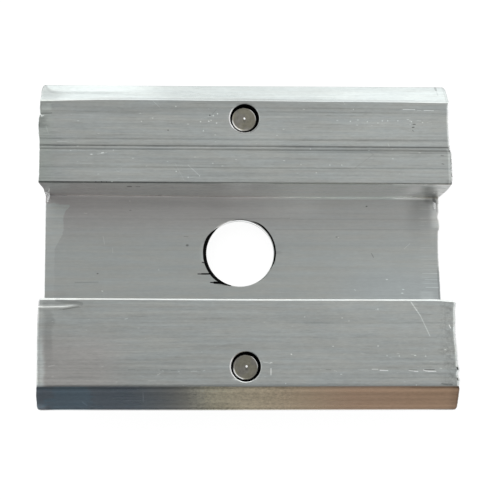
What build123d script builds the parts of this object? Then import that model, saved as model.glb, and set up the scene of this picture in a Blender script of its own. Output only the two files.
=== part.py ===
from build123d import *
from math import radians, tan
import os

os.makedirs("parts", exist_ok=True)

# Aluminium extrusion: a channel with a wing out to each side. Millimetres.
# X runs along the extrusion, Y across it and Z up. The origin is on the bolt bore's axis, at the underside.
length = 50.0
channel_width = 14.3
channel_depth = 8.6
floor_thickness = 3.0
side_wall = 2.85
wing_reach = 10.0
wing_thickness = 3.8

# Sloped outer edge along the top of each wing
slope_width = 2.65
slope_drop = 2.45

# Corner radii of the extruded section
foot_radius = 1.0
root_radius = 0.5
wing_edge_radius = 0.2
mouth_radius = 0.3
floor_corner_radius = 0.6

# Shallow line that the die leaves along the top of the back wing
die_line_from_edge = 8.2
die_line_width = 0.7
die_line_depth = 0.1

# Saw cuts: each end is a little out of square, in degrees
left_saw_angle = 0.27
right_saw_angle = 0.57
saw_allowance = 2.0

# Punched bolt bore for an M8 bolt, off the middle of the length
bore_diameter = 8.6
bore_off_middle = 0.48
bore_top_rollover = 0.3
bore_bottom_break = 0.2

# Grounding pins, pressed into a stepped hole through each wing
pin_diameter = 3.0
pin_press_clearance = 0.0
pin_off_middle = 0.24
pin_from_wing_edge = 4.85
pin_recess = 0.55
pin_stand_out = 1.0
pin_point_angle = 90.0
pin_tip_diameter = 0.2
pin_back_chamfer = 0.15
pin_nib_diameter = 0.3
pin_nib_height = 0.08
pin_pocket_clearance = 0.25
pin_pocket_depth = 1.5
pin_pocket_edge_break = 0.08

# Places that follow from the sizes above
channel_half = channel_width / 2
foot_half = channel_half + side_wall
half_width = foot_half + wing_reach
height = floor_thickness + channel_depth
wing_underside = height - wing_thickness
middle_x = bore_off_middle
left_end = middle_x - length / 2
right_end = middle_x + length / 2
pin_x = middle_x - pin_off_middle
pin_y = half_width - pin_from_wing_edge
pin_back_z = height - pin_recess
pin_tip_z = wing_underside - pin_stand_out
die_line_y = half_width - die_line_from_edge

# One side of the section, from the foot to the channel floor: each corner's place and its radius
side_corners = [
    ((foot_half, 0), foot_radius),
    ((foot_half, wing_underside), root_radius),
    ((half_width, wing_underside), wing_edge_radius),
    ((half_width, height - slope_drop), wing_edge_radius),
    ((half_width - slope_width, height), wing_edge_radius),
    ((channel_half, height), mouth_radius),
    ((channel_half, floor_thickness), floor_corner_radius),
]
mirrored_corners = [((-y, z), radius) for (y, z), radius in reversed(side_corners)]
section_corners = side_corners + mirrored_corners

# Clamp body: the section extruded past both ends, then sawn to length
with BuildPart() as clamp_body:
    with BuildSketch(Plane.YZ.offset(left_end - saw_allowance)):
        with BuildLine():
            FilletPolyline(
                [place for place, radius in section_corners],
                radius=[radius for place, radius in section_corners],
                close=True,
            )
        make_face()
        with Locations((die_line_y, height)):
            Rectangle(die_line_width, 2 * die_line_depth, mode=Mode.SUBTRACT)
    extrude(amount=length + 2 * saw_allowance)

    left_cut_normal = Vector(-1, 0, 0).rotate(Axis.Z, left_saw_angle)
    split(bisect_by=Plane((left_end, 0, 0), z_dir=left_cut_normal), keep=Keep.BOTTOM)
    right_cut_normal = Vector(1, 0, 0).rotate(Axis.Z, right_saw_angle)
    split(bisect_by=Plane((right_end, 0, 0), z_dir=right_cut_normal), keep=Keep.BOTTOM)

    # Bolt bore, with its top edge rolled over by the punch and its bottom edge broken
    with Locations((0, 0, floor_thickness)):
        Hole(bore_diameter / 2, depth=floor_thickness)
    bore_rims = clamp_body.edges(Select.LAST).filter_by(GeomType.CIRCLE).sort_by(Axis.Z)
    fillet(bore_rims[-1], bore_top_rollover)
    chamfer(bore_rims[0], bore_bottom_break)

    # Stepped pin holes: a wider pocket above, the press-fit bore below
    with Locations((pin_x, -pin_y, height), (pin_x, pin_y, height)):
        CounterBoreHole(
            radius=pin_diameter / 2 + pin_press_clearance,
            counter_bore_radius=pin_diameter / 2 + pin_pocket_clearance,
            counter_bore_depth=pin_pocket_depth,
            depth=wing_thickness,
        )
    hole_rims = clamp_body.edges(Select.LAST).filter_by(GeomType.CIRCLE)
    chamfer(hole_rims.group_by(Axis.Z)[-1], pin_pocket_edge_break)

clamp_body.part.label = "clamp_body"
export_step(clamp_body.part, "parts/clamp_body.step")

# Grounding pins: turned, with a conical point below and a parting nib in the middle of the back
point_height = (pin_diameter - pin_tip_diameter) / 2 / tan(radians(pin_point_angle / 2))
shoulder_z = pin_tip_z + point_height
pin_places = {"grounding_pin_front": -pin_y, "grounding_pin_back": pin_y}

for pin_name, place_y in pin_places.items():
    with BuildPart() as grounding_pin:
        with BuildSketch(Plane((pin_x, place_y, 0), x_dir=(1, 0, 0), z_dir=(0, -1, 0))):
            with BuildLine():
                Polyline(
                    (0, pin_tip_z),
                    (pin_tip_diameter / 2, pin_tip_z),
                    (pin_diameter / 2, shoulder_z),
                    (pin_diameter / 2, pin_back_z - pin_back_chamfer),
                    (pin_diameter / 2 - pin_back_chamfer, pin_back_z),
                    (pin_nib_diameter / 2, pin_back_z),
                    (0, pin_back_z + pin_nib_height),
                    close=True,
                )
            make_face()
        revolve(axis=Axis((pin_x, place_y, 0), (0, 0, 1)))
    grounding_pin.part.label = pin_name
    export_step(grounding_pin.part, f"parts/{pin_name}.step")
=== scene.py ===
"""Looks of an extruded aluminium mid clamp for solar panels, and its two grounding pins, on its CAD frame."""

import math

import bmesh
import bpy
import numpy as np
from bpy.props import FloatProperty, FloatVectorProperty, IntProperty, PointerProperty
from mathutils import Matrix, Vector, kdtree, noise


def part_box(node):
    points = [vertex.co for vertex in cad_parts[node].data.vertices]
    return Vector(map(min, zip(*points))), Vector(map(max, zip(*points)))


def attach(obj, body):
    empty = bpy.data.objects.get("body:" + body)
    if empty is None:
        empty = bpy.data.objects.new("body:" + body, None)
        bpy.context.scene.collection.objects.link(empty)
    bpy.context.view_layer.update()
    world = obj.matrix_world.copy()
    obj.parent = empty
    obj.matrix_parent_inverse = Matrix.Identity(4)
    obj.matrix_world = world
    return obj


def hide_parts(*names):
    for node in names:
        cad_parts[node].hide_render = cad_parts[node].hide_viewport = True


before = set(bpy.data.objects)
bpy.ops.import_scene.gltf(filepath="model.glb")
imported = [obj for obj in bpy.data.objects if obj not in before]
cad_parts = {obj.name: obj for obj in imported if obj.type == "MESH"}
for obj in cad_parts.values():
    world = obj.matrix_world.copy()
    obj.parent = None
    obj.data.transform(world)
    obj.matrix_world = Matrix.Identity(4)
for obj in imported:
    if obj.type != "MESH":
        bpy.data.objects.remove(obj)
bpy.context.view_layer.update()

bl_info = {
    "name": "Solar panel mid clamp",
    "version": (1, 0, 0),
    "blender": (4, 5, 0),
    "location": "3D View > Sidebar > Mid Clamp",
    "description": "Makes the extruded body, the sawn edges and the grounding pins of a mid clamp",
    "category": "Add Mesh",
}

MM = 0.001
BODY_NODE = "clamp_body"
PIN_NODES = ("grounding_pin_front", "grounding_pin_back")
body_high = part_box(BODY_NODE)[1]
pin_low, pin_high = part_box(PIN_NODES[1])

# How far each pin sits off its CAD place, and each pocket off its pin, along X and Y
PIN_SHIFTS = ((-0.035 * MM, 0.035 * MM), (-0.1 * MM, 0.1 * MM))
POCKET_SHIFTS = ((0.03 * MM, 0.035 * MM), (0.07 * MM, 0.02 * MM))
PIN_PLACES = {
    name: tuple((a + b) / 2 + shift for a, b, shift in zip(*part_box(name), shifts))
    for name, shifts in zip(PIN_NODES, PIN_SHIFTS)
}
POCKET_PLACES = {
    name: tuple(a + shift for a, shift in zip(PIN_PLACES[name], shifts))
    for name, shifts in zip(PIN_NODES, POCKET_SHIFTS)
}
BORE_PLACE = (-0.07 * MM, 0.0)
SHARP_ANGLE = math.radians(35)

# The finishes of the body, in the order of its material slots
BACK_WING, SAWN, PUNCHED, FRONT_WING, CHANNEL, FRONT_SLOPE = range(6)

# Colours of bright metal for fresh cuts and walls, and of the painted highlight on the broken edges of the
# pockets
FRESH_METAL = (0.93, 0.94, 0.94)
EDGE_HIGHLIGHT = (0.97, 0.97, 0.96)

# Depths of the finest relief, in metres: drawn streaks, saw lines and turned rings
STREAK_RELIEF, SAW_RELIEF, RING_RELIEF = 0.00002, 0.00004, 0.00001


# ---------------------------------------------------------------- sizes and finishes


def length_property(name, description, default):
    return FloatProperty(name=name, description=description, default=default, unit="LENGTH")


def colour_property(name, description, default):
    return FloatVectorProperty(name=name, description=description, subtype="COLOR", size=3, default=default)


def skew_property(side, degrees):
    return FloatProperty(
        name=side.capitalize() + " skew", default=-math.tan(math.radians(degrees)),
        description="How far the " + side + " saw cut leans along X for each metre of Y")


class ClampSizes(bpy.types.PropertyGroup):
    """Sizes of the extruded body and the pins"""

    height: length_property("Height", "From the underside to the top of the wings", body_high.z)
    half_width: length_property("Half width", "From the middle to the outer edge of a wing", body_high.y)
    left_end: length_property("Left end", "Place of the left saw cut on the middle line", -0.02452)
    right_end: length_property("Right end", "Place of the right saw cut on the middle line", 0.02548)
    left_skew: skew_property("left", 0.27)
    right_skew: skew_property("right", 0.57)
    channel_half: length_property(
        "Channel half width", "From the middle to a side wall of the channel", 0.00715)
    foot_half: length_property("Foot half width", "From the middle to the outside of the foot", 0.010)
    floor: length_property("Floor thickness", "Thickness of the channel floor", 0.003)
    wing: length_property("Wing thickness", "Thickness of a wing", 0.0038)
    slope_width: length_property("Slope width", "Width of the sloped outer edge", 0.00265)
    slope_drop: length_property("Slope drop", "Height of the sloped outer edge", 0.00245)
    bore_radius: length_property("Bore radius", "Radius of the bolt bore", 0.0043)
    pin_radius: length_property("Pin radius", "Radius of a grounding pin", (pin_high.x - pin_low.x) / 2)
    pocket_radius: length_property("Pocket radius", "Radius of the pocket above a pin", 0.00179)
    rows: IntProperty(
        name="Rows", description="Number of sections along the body", default=104, min=8)
    crowding: FloatProperty(
        name="Crowding", description="How much closer the sections stand near the ends", default=0.84,
        min=0.0, max=0.95)


class ClampFinish(bpy.types.PropertyGroup):
    """Colours of the metals"""

    aluminium: colour_property("Aluminium", "Mill finish of the extrusion", (0.605, 0.63, 0.612))
    sawn: colour_property("Sawn aluminium", "Freshly sawn ends", (0.72, 0.73, 0.735))
    # The colour of painted shadow: the rim of the bore, its torn marks and the walls of the pockets
    hole_shadow: colour_property("Punch residue", "Dark painted_shadow round the holes", (0.012, 0.012, 0.012))
    steel: colour_property("Pin steel", "Stainless steel of the pins", (0.335, 0.318, 0.255))


class ClampStage(bpy.types.PropertyGroup):
    """Floor, light and camera"""

    floor_tint: colour_property("Floor", "Pale floor", (1.0, 1.0, 1.0))
    arch_radius: length_property("Arch radius", "Radius of the studio arch", 0.6)
    lens: FloatProperty(name="Lens", description="Focal length in millimetres", default=96.3)


# ---------------------------------------------------------------- node writing


class Wire:
    """A number socket. Arithmetic on it adds Math nodes to its tree."""

    def __init__(self, graph, socket):
        self.graph = graph
        self.socket = socket

    def maths(self, operation, *values):
        node = self.graph.add("ShaderNodeMath", {"operation": operation}, dict(enumerate(values)))
        return Wire(self.graph, node.outputs[0])

    def __add__(self, other):
        return self.maths("ADD", self, other)

    __radd__ = __add__

    def __sub__(self, other):
        return self.maths("SUBTRACT", self, other)

    def __rsub__(self, other):
        return self.maths("SUBTRACT", other, self)

    def __mul__(self, other):
        return self.maths("MULTIPLY", self, other)

    __rmul__ = __mul__

    def __truediv__(self, other):
        return self.maths("DIVIDE", self, other)

    def __rtruediv__(self, other):
        return self.maths("DIVIDE", other, self)

    def __pow__(self, other):
        return self.maths("POWER", self, other)

    def __neg__(self):
        return self.maths("MULTIPLY", self, -1.0)

    def __abs__(self):
        return self.maths("ABSOLUTE", self)

    def at_least(self, other):
        return self.maths("MAXIMUM", self, other)

    def at_most(self, other):
        return self.maths("MINIMUM", self, other)

    def ramp(self, start, end, low=0.0, high=1.0):
        """A smooth step from low to high as the value goes from start to end."""
        node = self.graph.add(
            "ShaderNodeMapRange", {"interpolation_type": "SMOOTHSTEP"},
            {"Value": self, "From Min": start, "From Max": end, "To Min": low, "To Max": high})
        return Wire(self.graph, node.outputs["Result"])

    def band(self, start, end, soft):
        """One between start and end, falling to zero over the soft distance outside."""
        return self.ramp(start - soft, start) * self.ramp(end + soft, end)


class Graph:
    """A node tree that is written by calls."""

    def __init__(self, tree):
        self.tree = tree
        self.nodes = tree.nodes
        self.nodes.clear()

    def add(self, kind, settings=None, sockets=None):
        """Adds a node, sets its settings first, and then gives its sockets values or links."""
        node = self.nodes.new(kind)
        for key, value in (settings or {}).items():
            if key == "stops":
                elements = node.color_ramp.elements
                for index, (place, colour) in enumerate(value):
                    element = elements[index] if index < 2 else elements.new(place)
                    element.position, element.color = place, (*colour, 1.0)
            else:
                setattr(node, key, value)
        for key, value in (sockets or {}).items():
            socket = node.inputs[key]
            if isinstance(value, Wire):
                value = value.socket
            if isinstance(value, bpy.types.NodeSocket):
                self.tree.links.new(value, socket)
            elif socket.type == "RGBA" and len(value) == 3:
                socket.default_value = (*value, 1.0)
            else:
                socket.default_value = value
        return node

    def wire(self, node, output=0):
        return Wire(self, node.outputs[output])

    def mix(self, factor, first, second, blend="MIX"):
        """Mixes two colours."""
        node = self.add(
            "ShaderNodeMix", {"data_type": "RGBA", "blend_type": blend, "clamp_factor": True},
            {0: factor, 6: first, 7: second})
        return node.outputs[2]

    def tinted(self, colour, tone):
        """A colour times a number."""
        grey = self.add("ShaderNodeCombineColor", sockets={0: tone, 1: tone, 2: tone})
        return self.mix(1.0, colour, grey.outputs[0], "MULTIPLY")

    def vector(self, operation, first, second=None, scale=None, output=0):
        sockets = {0: first}
        if second is not None:
            sockets[1] = second
        if scale is not None:
            sockets["Scale"] = scale
        node = self.add("ShaderNodeVectorMath", {"operation": operation}, sockets)
        return node.outputs[output]

    def noise(self, place, stretch, scale=1.0, detail=2.0, roughness=0.5, offset=(0.0, 0.0, 0.0)):
        """A noise from 0 to 1 on millimetre places, stretched per axis."""
        mapping = self.add(
            "ShaderNodeMapping", {"vector_type": "POINT"},
            {"Vector": place, "Location": offset, "Scale": stretch})
        node = self.add(
            "ShaderNodeTexNoise", {"noise_dimensions": "3D"},
            {"Vector": mapping.outputs[0], "Scale": scale, "Detail": detail, "Roughness": roughness})
        return self.wire(node, "Fac")

    def attribute(self, name):
        """A number that the mesh carries, such as the distance from a saw cut in millimetres."""
        return self.wire(self.add("ShaderNodeAttribute", {"attribute_name": name}), "Fac")

    def stroke(self, place, start, end, half_width, soft=0.5):
        """One on a straight mark from start to end, in millimetres, and zero outside its half width."""
        run = [b - a for a, b in zip(start, end)]
        reach = sum(part * part for part in run) or 1.0
        away = self.vector("SUBTRACT", place, tuple(start))
        along = self.vector("DOT_PRODUCT", away, tuple(run), output=1)
        share = (Wire(self, along) * (1.0 / reach)).at_least(0.0).at_most(1.0)
        nearest = self.vector("SCALE", tuple(run), scale=share)
        gap = Wire(self, self.vector("DISTANCE", away, nearest, output=1))
        return gap.ramp(half_width, half_width * (1.0 - soft))

    def strokes(self, place, rows):
        """The sum of straight marks. A row is (start, end, half width, softness, amount)."""
        marks = [self.stroke(place, *row[:4]) * row[4] for row in rows]
        return sum(marks[1:], marks[0])


def new_material(name):
    """A new material with an empty tree, and its graph and its places in millimetres."""
    material = bpy.data.materials.new(name)
    material.use_nodes = True
    graph = Graph(material.node_tree)
    coordinates = graph.add("ShaderNodeTexCoord")
    place = graph.vector("SCALE", coordinates.outputs["Object"], scale=1.0 / MM)
    split = graph.add("ShaderNodeSeparateXYZ", sockets={0: place})
    return material, graph, place, [graph.wire(split, axis) for axis in range(3)]


def metal_output(graph, colour, roughness, normal=None, **fixed):
    """Ends a material with a metal shader."""
    sockets = {"Base Color": colour, "Roughness": roughness, "Metallic": 1.0}
    if normal is not None:
        sockets["Normal"] = normal
    sockets.update(fixed)
    shader = graph.add("ShaderNodeBsdfPrincipled", sockets=sockets)
    graph.add("ShaderNodeOutputMaterial", sockets={"Surface": shader.outputs[0]})


def bump(graph, height, distance, strength):
    """A normal that leans as a height from 0 to 1 does, over a distance in metres."""
    sockets = {"Height": height, "Distance": distance, "Strength": strength}
    return graph.add("ShaderNodeBump", sockets=sockets).outputs[0]


def round_place(x, y, middle):
    """Offsets from a middle that is in metres, and the distance from it, all in millimetres."""
    dx, dy = x - middle[0] / MM, y - middle[1] / MM
    return dx, dy, (dx * dx + dy * dy) ** 0.5


def toward(dx, dy, radius, across, up):
    """How far a place round a middle lies in a direction, from -1 to 1."""
    return (dx * across + dy * up) / (radius + 0.01)


# ---------------------------------------------------------------- metals


def line_tone(graph, across, lines, low, high):
    """The shade of the die's lines, from a ramp over low to high. A line is (place, half width, shade)."""
    stops = [(0.0, 0.5)]
    for middle, half, shade in sorted(lines):
        for at, value in ((middle - half, 0.0), (middle, shade), (middle + half, 0.0)):
            stops.append(((at - low) / (high - low), 0.5 + 0.5 * value))
    stops.append((1.0, 0.5))
    ramp = graph.add(
        "ShaderNodeValToRGB", {"stops": [(place, (value,) * 3) for place, value in stops]},
        {0: (across - low) / (high - low)})
    return graph.wire(ramp, 0) * 2.0 - 1.0


# Shades of the lines along the wings, the front slope and the channel floor, partly painted shade and
# reflection of the die's lines: (place, half width, shade)
BACK_SHADES = (
    (17.05, 0.17, -0.07), (16.55, 0.16, -0.1), (16.02, 0.16, -0.06), (13.2, 0.2, 0.05), (12.55, 0.22, -0.19),
    (12.1, 0.12, 0.05), (11.72, 0.17, -0.46), (11.28, 0.15, -0.3), (9.04, 0.16, -0.2), (8.1, 0.12, -0.04),
)
FRONT_SHADES = (
    (-17.22, 0.17, -0.16), (-16.9, 0.12, -0.05), (-16.45, 0.18, -0.11), (-15.95, 0.14, -0.06),
    (-15.5, 0.14, -0.08), (-14.75, 0.14, -0.05), (-14.3, 0.14, -0.05), (-12.65, 0.16, -0.04),
    (-11.57, 0.18, -0.06), (-9.9, 0.2, -0.07),
)
SLOPE_SHADES = (
    (-17.58, 0.19, -0.32), (-17.95, 0.16, 0.12), (-18.3, 0.22, -0.1), (-19.12, 0.2, 0.03),
    (-19.62, 0.24, 0.12),
)
FLOOR_SHADES = (
    (-3.8, 0.1, 0.02), (0.95, 0.2, -0.03), (3.05, 0.15, -0.04), (4.35, 0.15, -0.06), (5.1, 0.1, -0.03),
)

# Scratches and stains, and dark marks of painted shade along the back wing's inner edge and beside the front
# wing's dent: x and y of both ends and half width in mm, and shade (above one is bright metal)
BACK_MARKS = (
    (-24.62, 15.63, -24.43, 15.35, 0.08, 1.8), (-24.54, 15.68, -23.25, 15.74, 0.09, 0.62),
    (-24.81, 14.72, -24.67, 14.1, 0.07, 0.7), (-22.54, 12.18, -21.94, 12.25, 0.07, 1.2),
    (-21.94, 12.23, -21.09, 12.11, 0.06, 1.15), (-20.97, 12.26, -20.37, 12.07, 0.06, 1.12),
    (-17.64, 10.64, -16.49, 10.86, 0.06, 1.25), (-18.54, 10.6, -18.18, 10.63, 0.05, 1.25),
    (-19.73, 9.46, -18.28, 9.47, 0.05, 1.14), (-15.44, 8.82, -15.14, 8.5, 0.06, 1.12),
    (-15.14, 8.5, -14.72, 8.64, 0.06, 1.12), (-14.72, 8.64, -14.78, 9.01, 0.05, 1.1),
    (-8.27, 9.6, -7.17, 7.5, 0.05, 1.12), (-6.69, 9.37, -5.29, 8.07, 0.07, 1.22),
    (-5.29, 8.07, -5.26, 7.95, 0.06, 1.35), (-10.98, 17.35, -10.12, 16.54, 0.05, 1.22),
    (-11.33, 15.2, -10.85, 15.33, 0.06, 1.12), (-5.12, 15.19, -3.66, 15.58, 0.06, 1.12),
    (-3.78, 15.71, -3.29, 16.28, 0.05, 0.8), (-9.26, 14.47, -8.29, 14.6, 0.04, 0.85),
    # The first mark here, along the inner edge, is painted shade
    (-23.88, 7.22, -10.07, 7.16, 0.07, 0.5), (19.73, 16.54, 21.21, 16.53, 0.07, 1.6),
    (21.52, 16.45, 21.96, 16.41, 0.05, 1.3), (22.33, 16.43, 23.51, 16.42, 0.06, 1.5),
    (20.94, 14.65, 21.19, 14.66, 0.09, 0.45), (20.84, 14.27, 21.03, 14.29, 0.1, 0.4),
    (20.85, 13.89, 20.95, 13.81, 0.08, 0.6), (20.19, 15.26, 20.38, 15.26, 0.09, 1.3),
    (21.43, 15.15, 21.92, 15.09, 0.05, 1.25), (22.66, 14.9, 23.16, 15.03, 0.05, 1.2),
    (19.93, 14.82, 23.28, 14.77, 0.04, 1.12), (20.72, 11.67, 21.21, 11.63, 0.05, 1.12),
    (22.29, 10.51, 23.65, 10.51, 0.05, 1.1), (24.28, 10.75, 24.58, 10.71, 0.08, 0.7),
    (24.37, 9.71, 24.61, 9.66, 0.08, 0.6), (15.41, 11.19, 15.96, 10.82, 0.05, 0.85),
    (15.96, 10.82, 13.66, 9.12, 0.05, 0.87), (12.32, 17.48, 12.57, 17.1, 0.05, 1.2),
    (17.77, 12.18, 17.95, 11.77, 0.05, 1.3), (-24.43, 15.35, -24.22, 15.45, 0.07, 1.6),
    (-23.9, 14.11, -23.61, 13.23, 0.1, 1.12), (-18.43, 10.63, -18.31, 10.63, 0.1, 1.4),
    (-17.15, 10.82, -16.93, 10.87, 0.1, 1.45),
)
FRONT_MARKS = (
    (20.12, -7.34, 21.15, -8.9, 0.1, 1.38), (21.2, -8.95, 22.31, -11.44, 0.085, 1.3),
    (-22.69, -9.71, -22.62, -9.72, 0.09, 1.2), (-23.02, -15.04, -22.32, -14.86, 0.08, 1.16),
    # The first mark here, beside the dent, is painted shade
    (-21.45, -8.28, -19.57, -7.93, 0.07, 0.75), (-18.7, -10.72, -18.58, -10.78, 0.08, 1.1),
    (-14.11, -9.41, -13.81, -9.35, 0.08, 1.3), (-13.69, -15.44, -12.87, -15.41, 0.06, 0.8),
    (-12.63, -15.46, -11.1, -15.44, 0.06, 0.86), (-9.93, -15.46, -8.98, -15.46, 0.06, 0.8),
    (-8.63, -15.52, -7.92, -15.51, 0.06, 0.82), (-7.45, -15.41, -6.39, -15.49, 0.06, 0.86),
    (-5.8, -15.52, -5.09, -15.49, 0.05, 0.8), (-10.22, -16.05, -9.92, -15.88, 0.07, 1.3),
    (-9.69, -15.52, -9.51, -15.58, 0.06, 1.3), (-7.8, -15.61, -7.63, -15.66, 0.06, 1.3),
    (-6.27, -15.68, -5.56, -15.59, 0.06, 1.25), (-4.85, -15.59, -4.61, -15.54, 0.06, 1.3),
    (-11.33, -16.73, -10.39, -16.76, 0.05, 1.2), (-7.21, -17.29, -7.03, -17.41, 0.07, 1.35),
    (-12.28, -16.17, -11.8, -16.24, 0.05, 1.15), (2.32, -14.53, 3.21, -14.71, 0.06, 1.35),
    (3.21, -15.3, 3.2, -16.07, 0.08, 1.6), (3.15, -14.58, 3.33, -14.6, 0.08, 1.45),
    (9.75, -15.44, 10.35, -15.47, 0.06, 0.7), (10.71, -15.56, 11.06, -15.66, 0.05, 1.25),
    (11.47, -16.0, 11.65, -16.0, 0.07, 1.4), (15.25, -15.4, 15.97, -15.4, 0.06, 1.5),
    (16.2, -15.52, 17.16, -15.57, 0.07, 1.6), (13.57, -15.45, 14.77, -15.47, 0.05, 1.2),
    (18.29, -13.53, 18.53, -13.55, 0.06, 1.3), (20.38, -13.76, 20.54, -13.76, 0.08, 1.5),
    (19.97, -13.62, 20.33, -13.69, 0.05, 1.2), (19.68, -15.55, 20.16, -15.62, 0.07, 1.45),
    (20.28, -15.65, 20.75, -15.69, 0.07, 1.6), (21.42, -15.5, 21.72, -15.62, 0.07, 1.6),
    (21.72, -15.62, 22.92, -15.67, 0.07, 1.6), (21.54, -15.46, 22.74, -15.44, 0.06, 0.5),
    (19.68, -15.43, 20.64, -15.48, 0.05, 0.7), (23.41, -15.3, 23.65, -15.32, 0.08, 1.3),
    (21.95, -15.72, 22.68, -15.7, 0.05, 1.4), (20.86, -11.63, 23.15, -11.63, 0.06, 0.86),
    (24.67, -10.12, 24.83, -10.48, 0.08, 1.75), (24.05, -13.06, 24.17, -13.07, 0.08, 1.45),
    (24.31, -13.3, 24.25, -13.36, 0.07, 0.8), (10.58, -12.67, 10.7, -12.67, 0.08, 1.45),
    (16.0, -12.64, 16.07, -12.64, 0.09, 1.6), (15.83, -8.25, 16.19, -8.31, 0.07, 1.2),
    (8.25, -11.62, 11.24, -11.8, 0.08, 0.92), (5.54, -13.58, 5.72, -13.61, 0.06, 1.3),
    (13.97, -13.53, 14.33, -13.57, 0.05, 1.15), (23.6, -17.13, 24.79, -17.25, 0.14, 0.72),
    (22.23, -14.49, 22.77, -14.55, 0.06, 1.15), (21.26, -14.79, 23.06, -14.84, 0.06, 0.86),
    (25.5, -15.2, 25.6, -15.45, 0.13, 0.15), (25.48, -16.5, 25.56, -16.72, 0.11, 0.25),
    # This mark beside the dent is painted shade
    (-21.8, -8.28, -19.45, -8.04, 0.1, 0.86),
)
FLOOR_MARKS = (
    (-6.8, 0.95, -6.7, 0.95, 0.2, 0.65), (-17.38, 2.11, -17.18, 1.09, 0.06, 1.14),
    (-16.19, 0.58, -16.12, -0.06, 0.05, 1.12), (-20.8, -3.82, -17.93, -3.78, 0.09, 0.87),
    (-18.05, -2.69, -17.95, -2.69, 0.11, 0.62), (-17.44, -4.9, -17.34, -4.92, 0.1, 1.35),
    (-10.37, -2.19, -10.3, -2.21, 0.1, 1.18), (-7.16, 2.1, -6.66, 2.07, 0.07, 0.82),
    (18.49, -3.37, 18.64, -3.37, 0.1, 1.4), (20.54, -4.65, 20.73, -4.65, 0.09, 1.35),
    (20.42, -5.12, 20.59, -5.12, 0.09, 1.35), (20.86, 0.56, 21.65, 1.28, 0.06, 1.14),
    (16.68, -0.03, 16.93, -0.54, 0.07, 0.75), (16.12, 6.09, 16.22, 6.08, 0.1, 0.5),
    (12.18, 2.09, 12.37, 2.06, 0.09, 0.7), (12.37, 2.04, 12.49, 1.99, 0.07, 1.3),
    (14.42, -4.66, 14.55, -4.78, 0.08, 1.2), (-14.13, 6.64, -14.0, 6.64, 0.08, 1.25),
    (-19.82, 5.06, -19.44, 5.0, 0.06, 1.2), (-14.04, 5.42, -13.89, 5.45, 0.09, 0.8),
    (23.15, -2.6, 25.01, -2.57, 0.06, 1.16), (23.45, -3.37, 25.05, -3.36, 0.06, 1.14),
    (23.44, -3.87, 24.85, -3.88, 0.05, 1.05), (23.55, -4.37, 25.15, -4.38, 0.07, 1.2),
    (4.4, 2.99, 22.98, 3.1, 0.06, 0.93), (6.58, 4.37, 23.01, 4.4, 0.05, 0.94),
    (-3.87, 4.45, 6.33, 4.49, 0.06, 0.9),
)

# Small specks on the tops of the wings: x and y in mm, and shade
BACK_SPECKS = (
    (-8.19, 16.69, 1.5), (-3.11, 15.81, 1.7), (-3.62, 15.56, 1.5), (-5.18, 14.79, 1.6), (-4.17, 14.85, 1.7),
    (-3.9, 14.97, 1.4), (-3.23, 14.64, 1.6), (-4.83, 13.66, 1.5), (-11.0, 15.17, 1.3), (-12.37, 14.78, 1.4),
    (-15.74, 11.17, 1.3), (-3.68, 9.6, 1.4), (-8.12, 8.57, 1.5), (-6.67, 7.85, 1.4), (-4.04, 15.61, 0.3),
    (-9.13, 13.69, 0.5), (13.59, 16.49, 1.4), (13.18, 14.98, 1.5), (15.28, 14.95, 1.4), (17.13, 15.07, 1.4),
    (17.8, 15.08, 1.5), (19.06, 15.09, 1.4), (20.74, 14.99, 1.5), (22.11, 14.9, 1.4), (15.42, 11.31, 1.5),
    (8.23, 11.47, 1.4), (10.59, 9.47, 1.4), (12.05, 9.48, 1.4), (7.06, 9.51, 1.3), (8.91, 8.5, 1.3),
    (-15.85, 7.24, 1.8), (-16.5, 7.2, 0.4), (-17.1, 7.21, 0.4), (-17.8, 7.21, 0.45),
)
FRONT_SPECKS = (
    (16.11, -8.19, 1.4), (7.29, -9.15, 1.3), (11.78, -9.27, 1.4), (12.6, -9.64, 1.3), (5.65, -13.62, 1.5),
    (17.09, -13.8, 1.4), (18.56, -13.83, 1.4), (21.73, -13.84, 1.4), (4.94, -17.09, 1.4),
    (20.52, -17.29, 1.4),
)


# The softness of a mark's sides, where a speck starts and is full in mm, and how strong they all are
MARK_SOFTNESS, SPECK_EDGE, MARK_STRENGTH = 0.7, (0.12, 0.04), 1.15


def mark_tone(graph, place, marks, specks, level):
    """One where no mark is, and the shades of the marks and the specks on them."""
    tone = graph.strokes(place, [
        ((x, y, level), (end_x, end_y, level), half, MARK_SOFTNESS, shade - 1.0)
        for x, y, end_x, end_y, half, shade in marks])
    for x, y, shade in specks:
        gap = Wire(graph, graph.vector("DISTANCE", place, (x, y, level), output=1))
        tone = tone + gap.ramp(*SPECK_EDGE) * (shade - 1.0)
    return tone * MARK_STRENGTH + 1.0


def scraped(marks):
    """How much the bright marks are scraped down to raw metal, so that they scatter light."""
    return marks.ramp(1.1, 1.9) * 0.3


def streaks(graph, place):
    """Noises of the mill finish: fine and broad streaks, clouds, patches, and slow changes along X."""
    return (
        graph.noise(place, (0.08, 4.2, 4.2), detail=3.0, roughness=0.55),
        graph.noise(place, (0.03, 1.1, 1.1), detail=2.0, offset=(3.1, 7.7, 1.3)),
        graph.noise(place, (0.12, 0.22, 0.22), detail=3.0, offset=(11.0, 2.0, 5.0)),
        graph.noise(place, (0.45, 1.1, 1.1), detail=4.0, roughness=0.65, offset=(5.0, 9.0, 2.0)),
        graph.noise(place, (0.25, 1.4, 1.4), detail=2.0, offset=(1.0, 4.0, 8.0)),
    )


def grain(graph, place):
    """A fine grain, a little longer along the extrusion, round zero."""
    return graph.noise(place, (1.7, 6.5, 6.5), detail=2.0, offset=(7.0, 3.0, 1.0)) - 0.5


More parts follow.
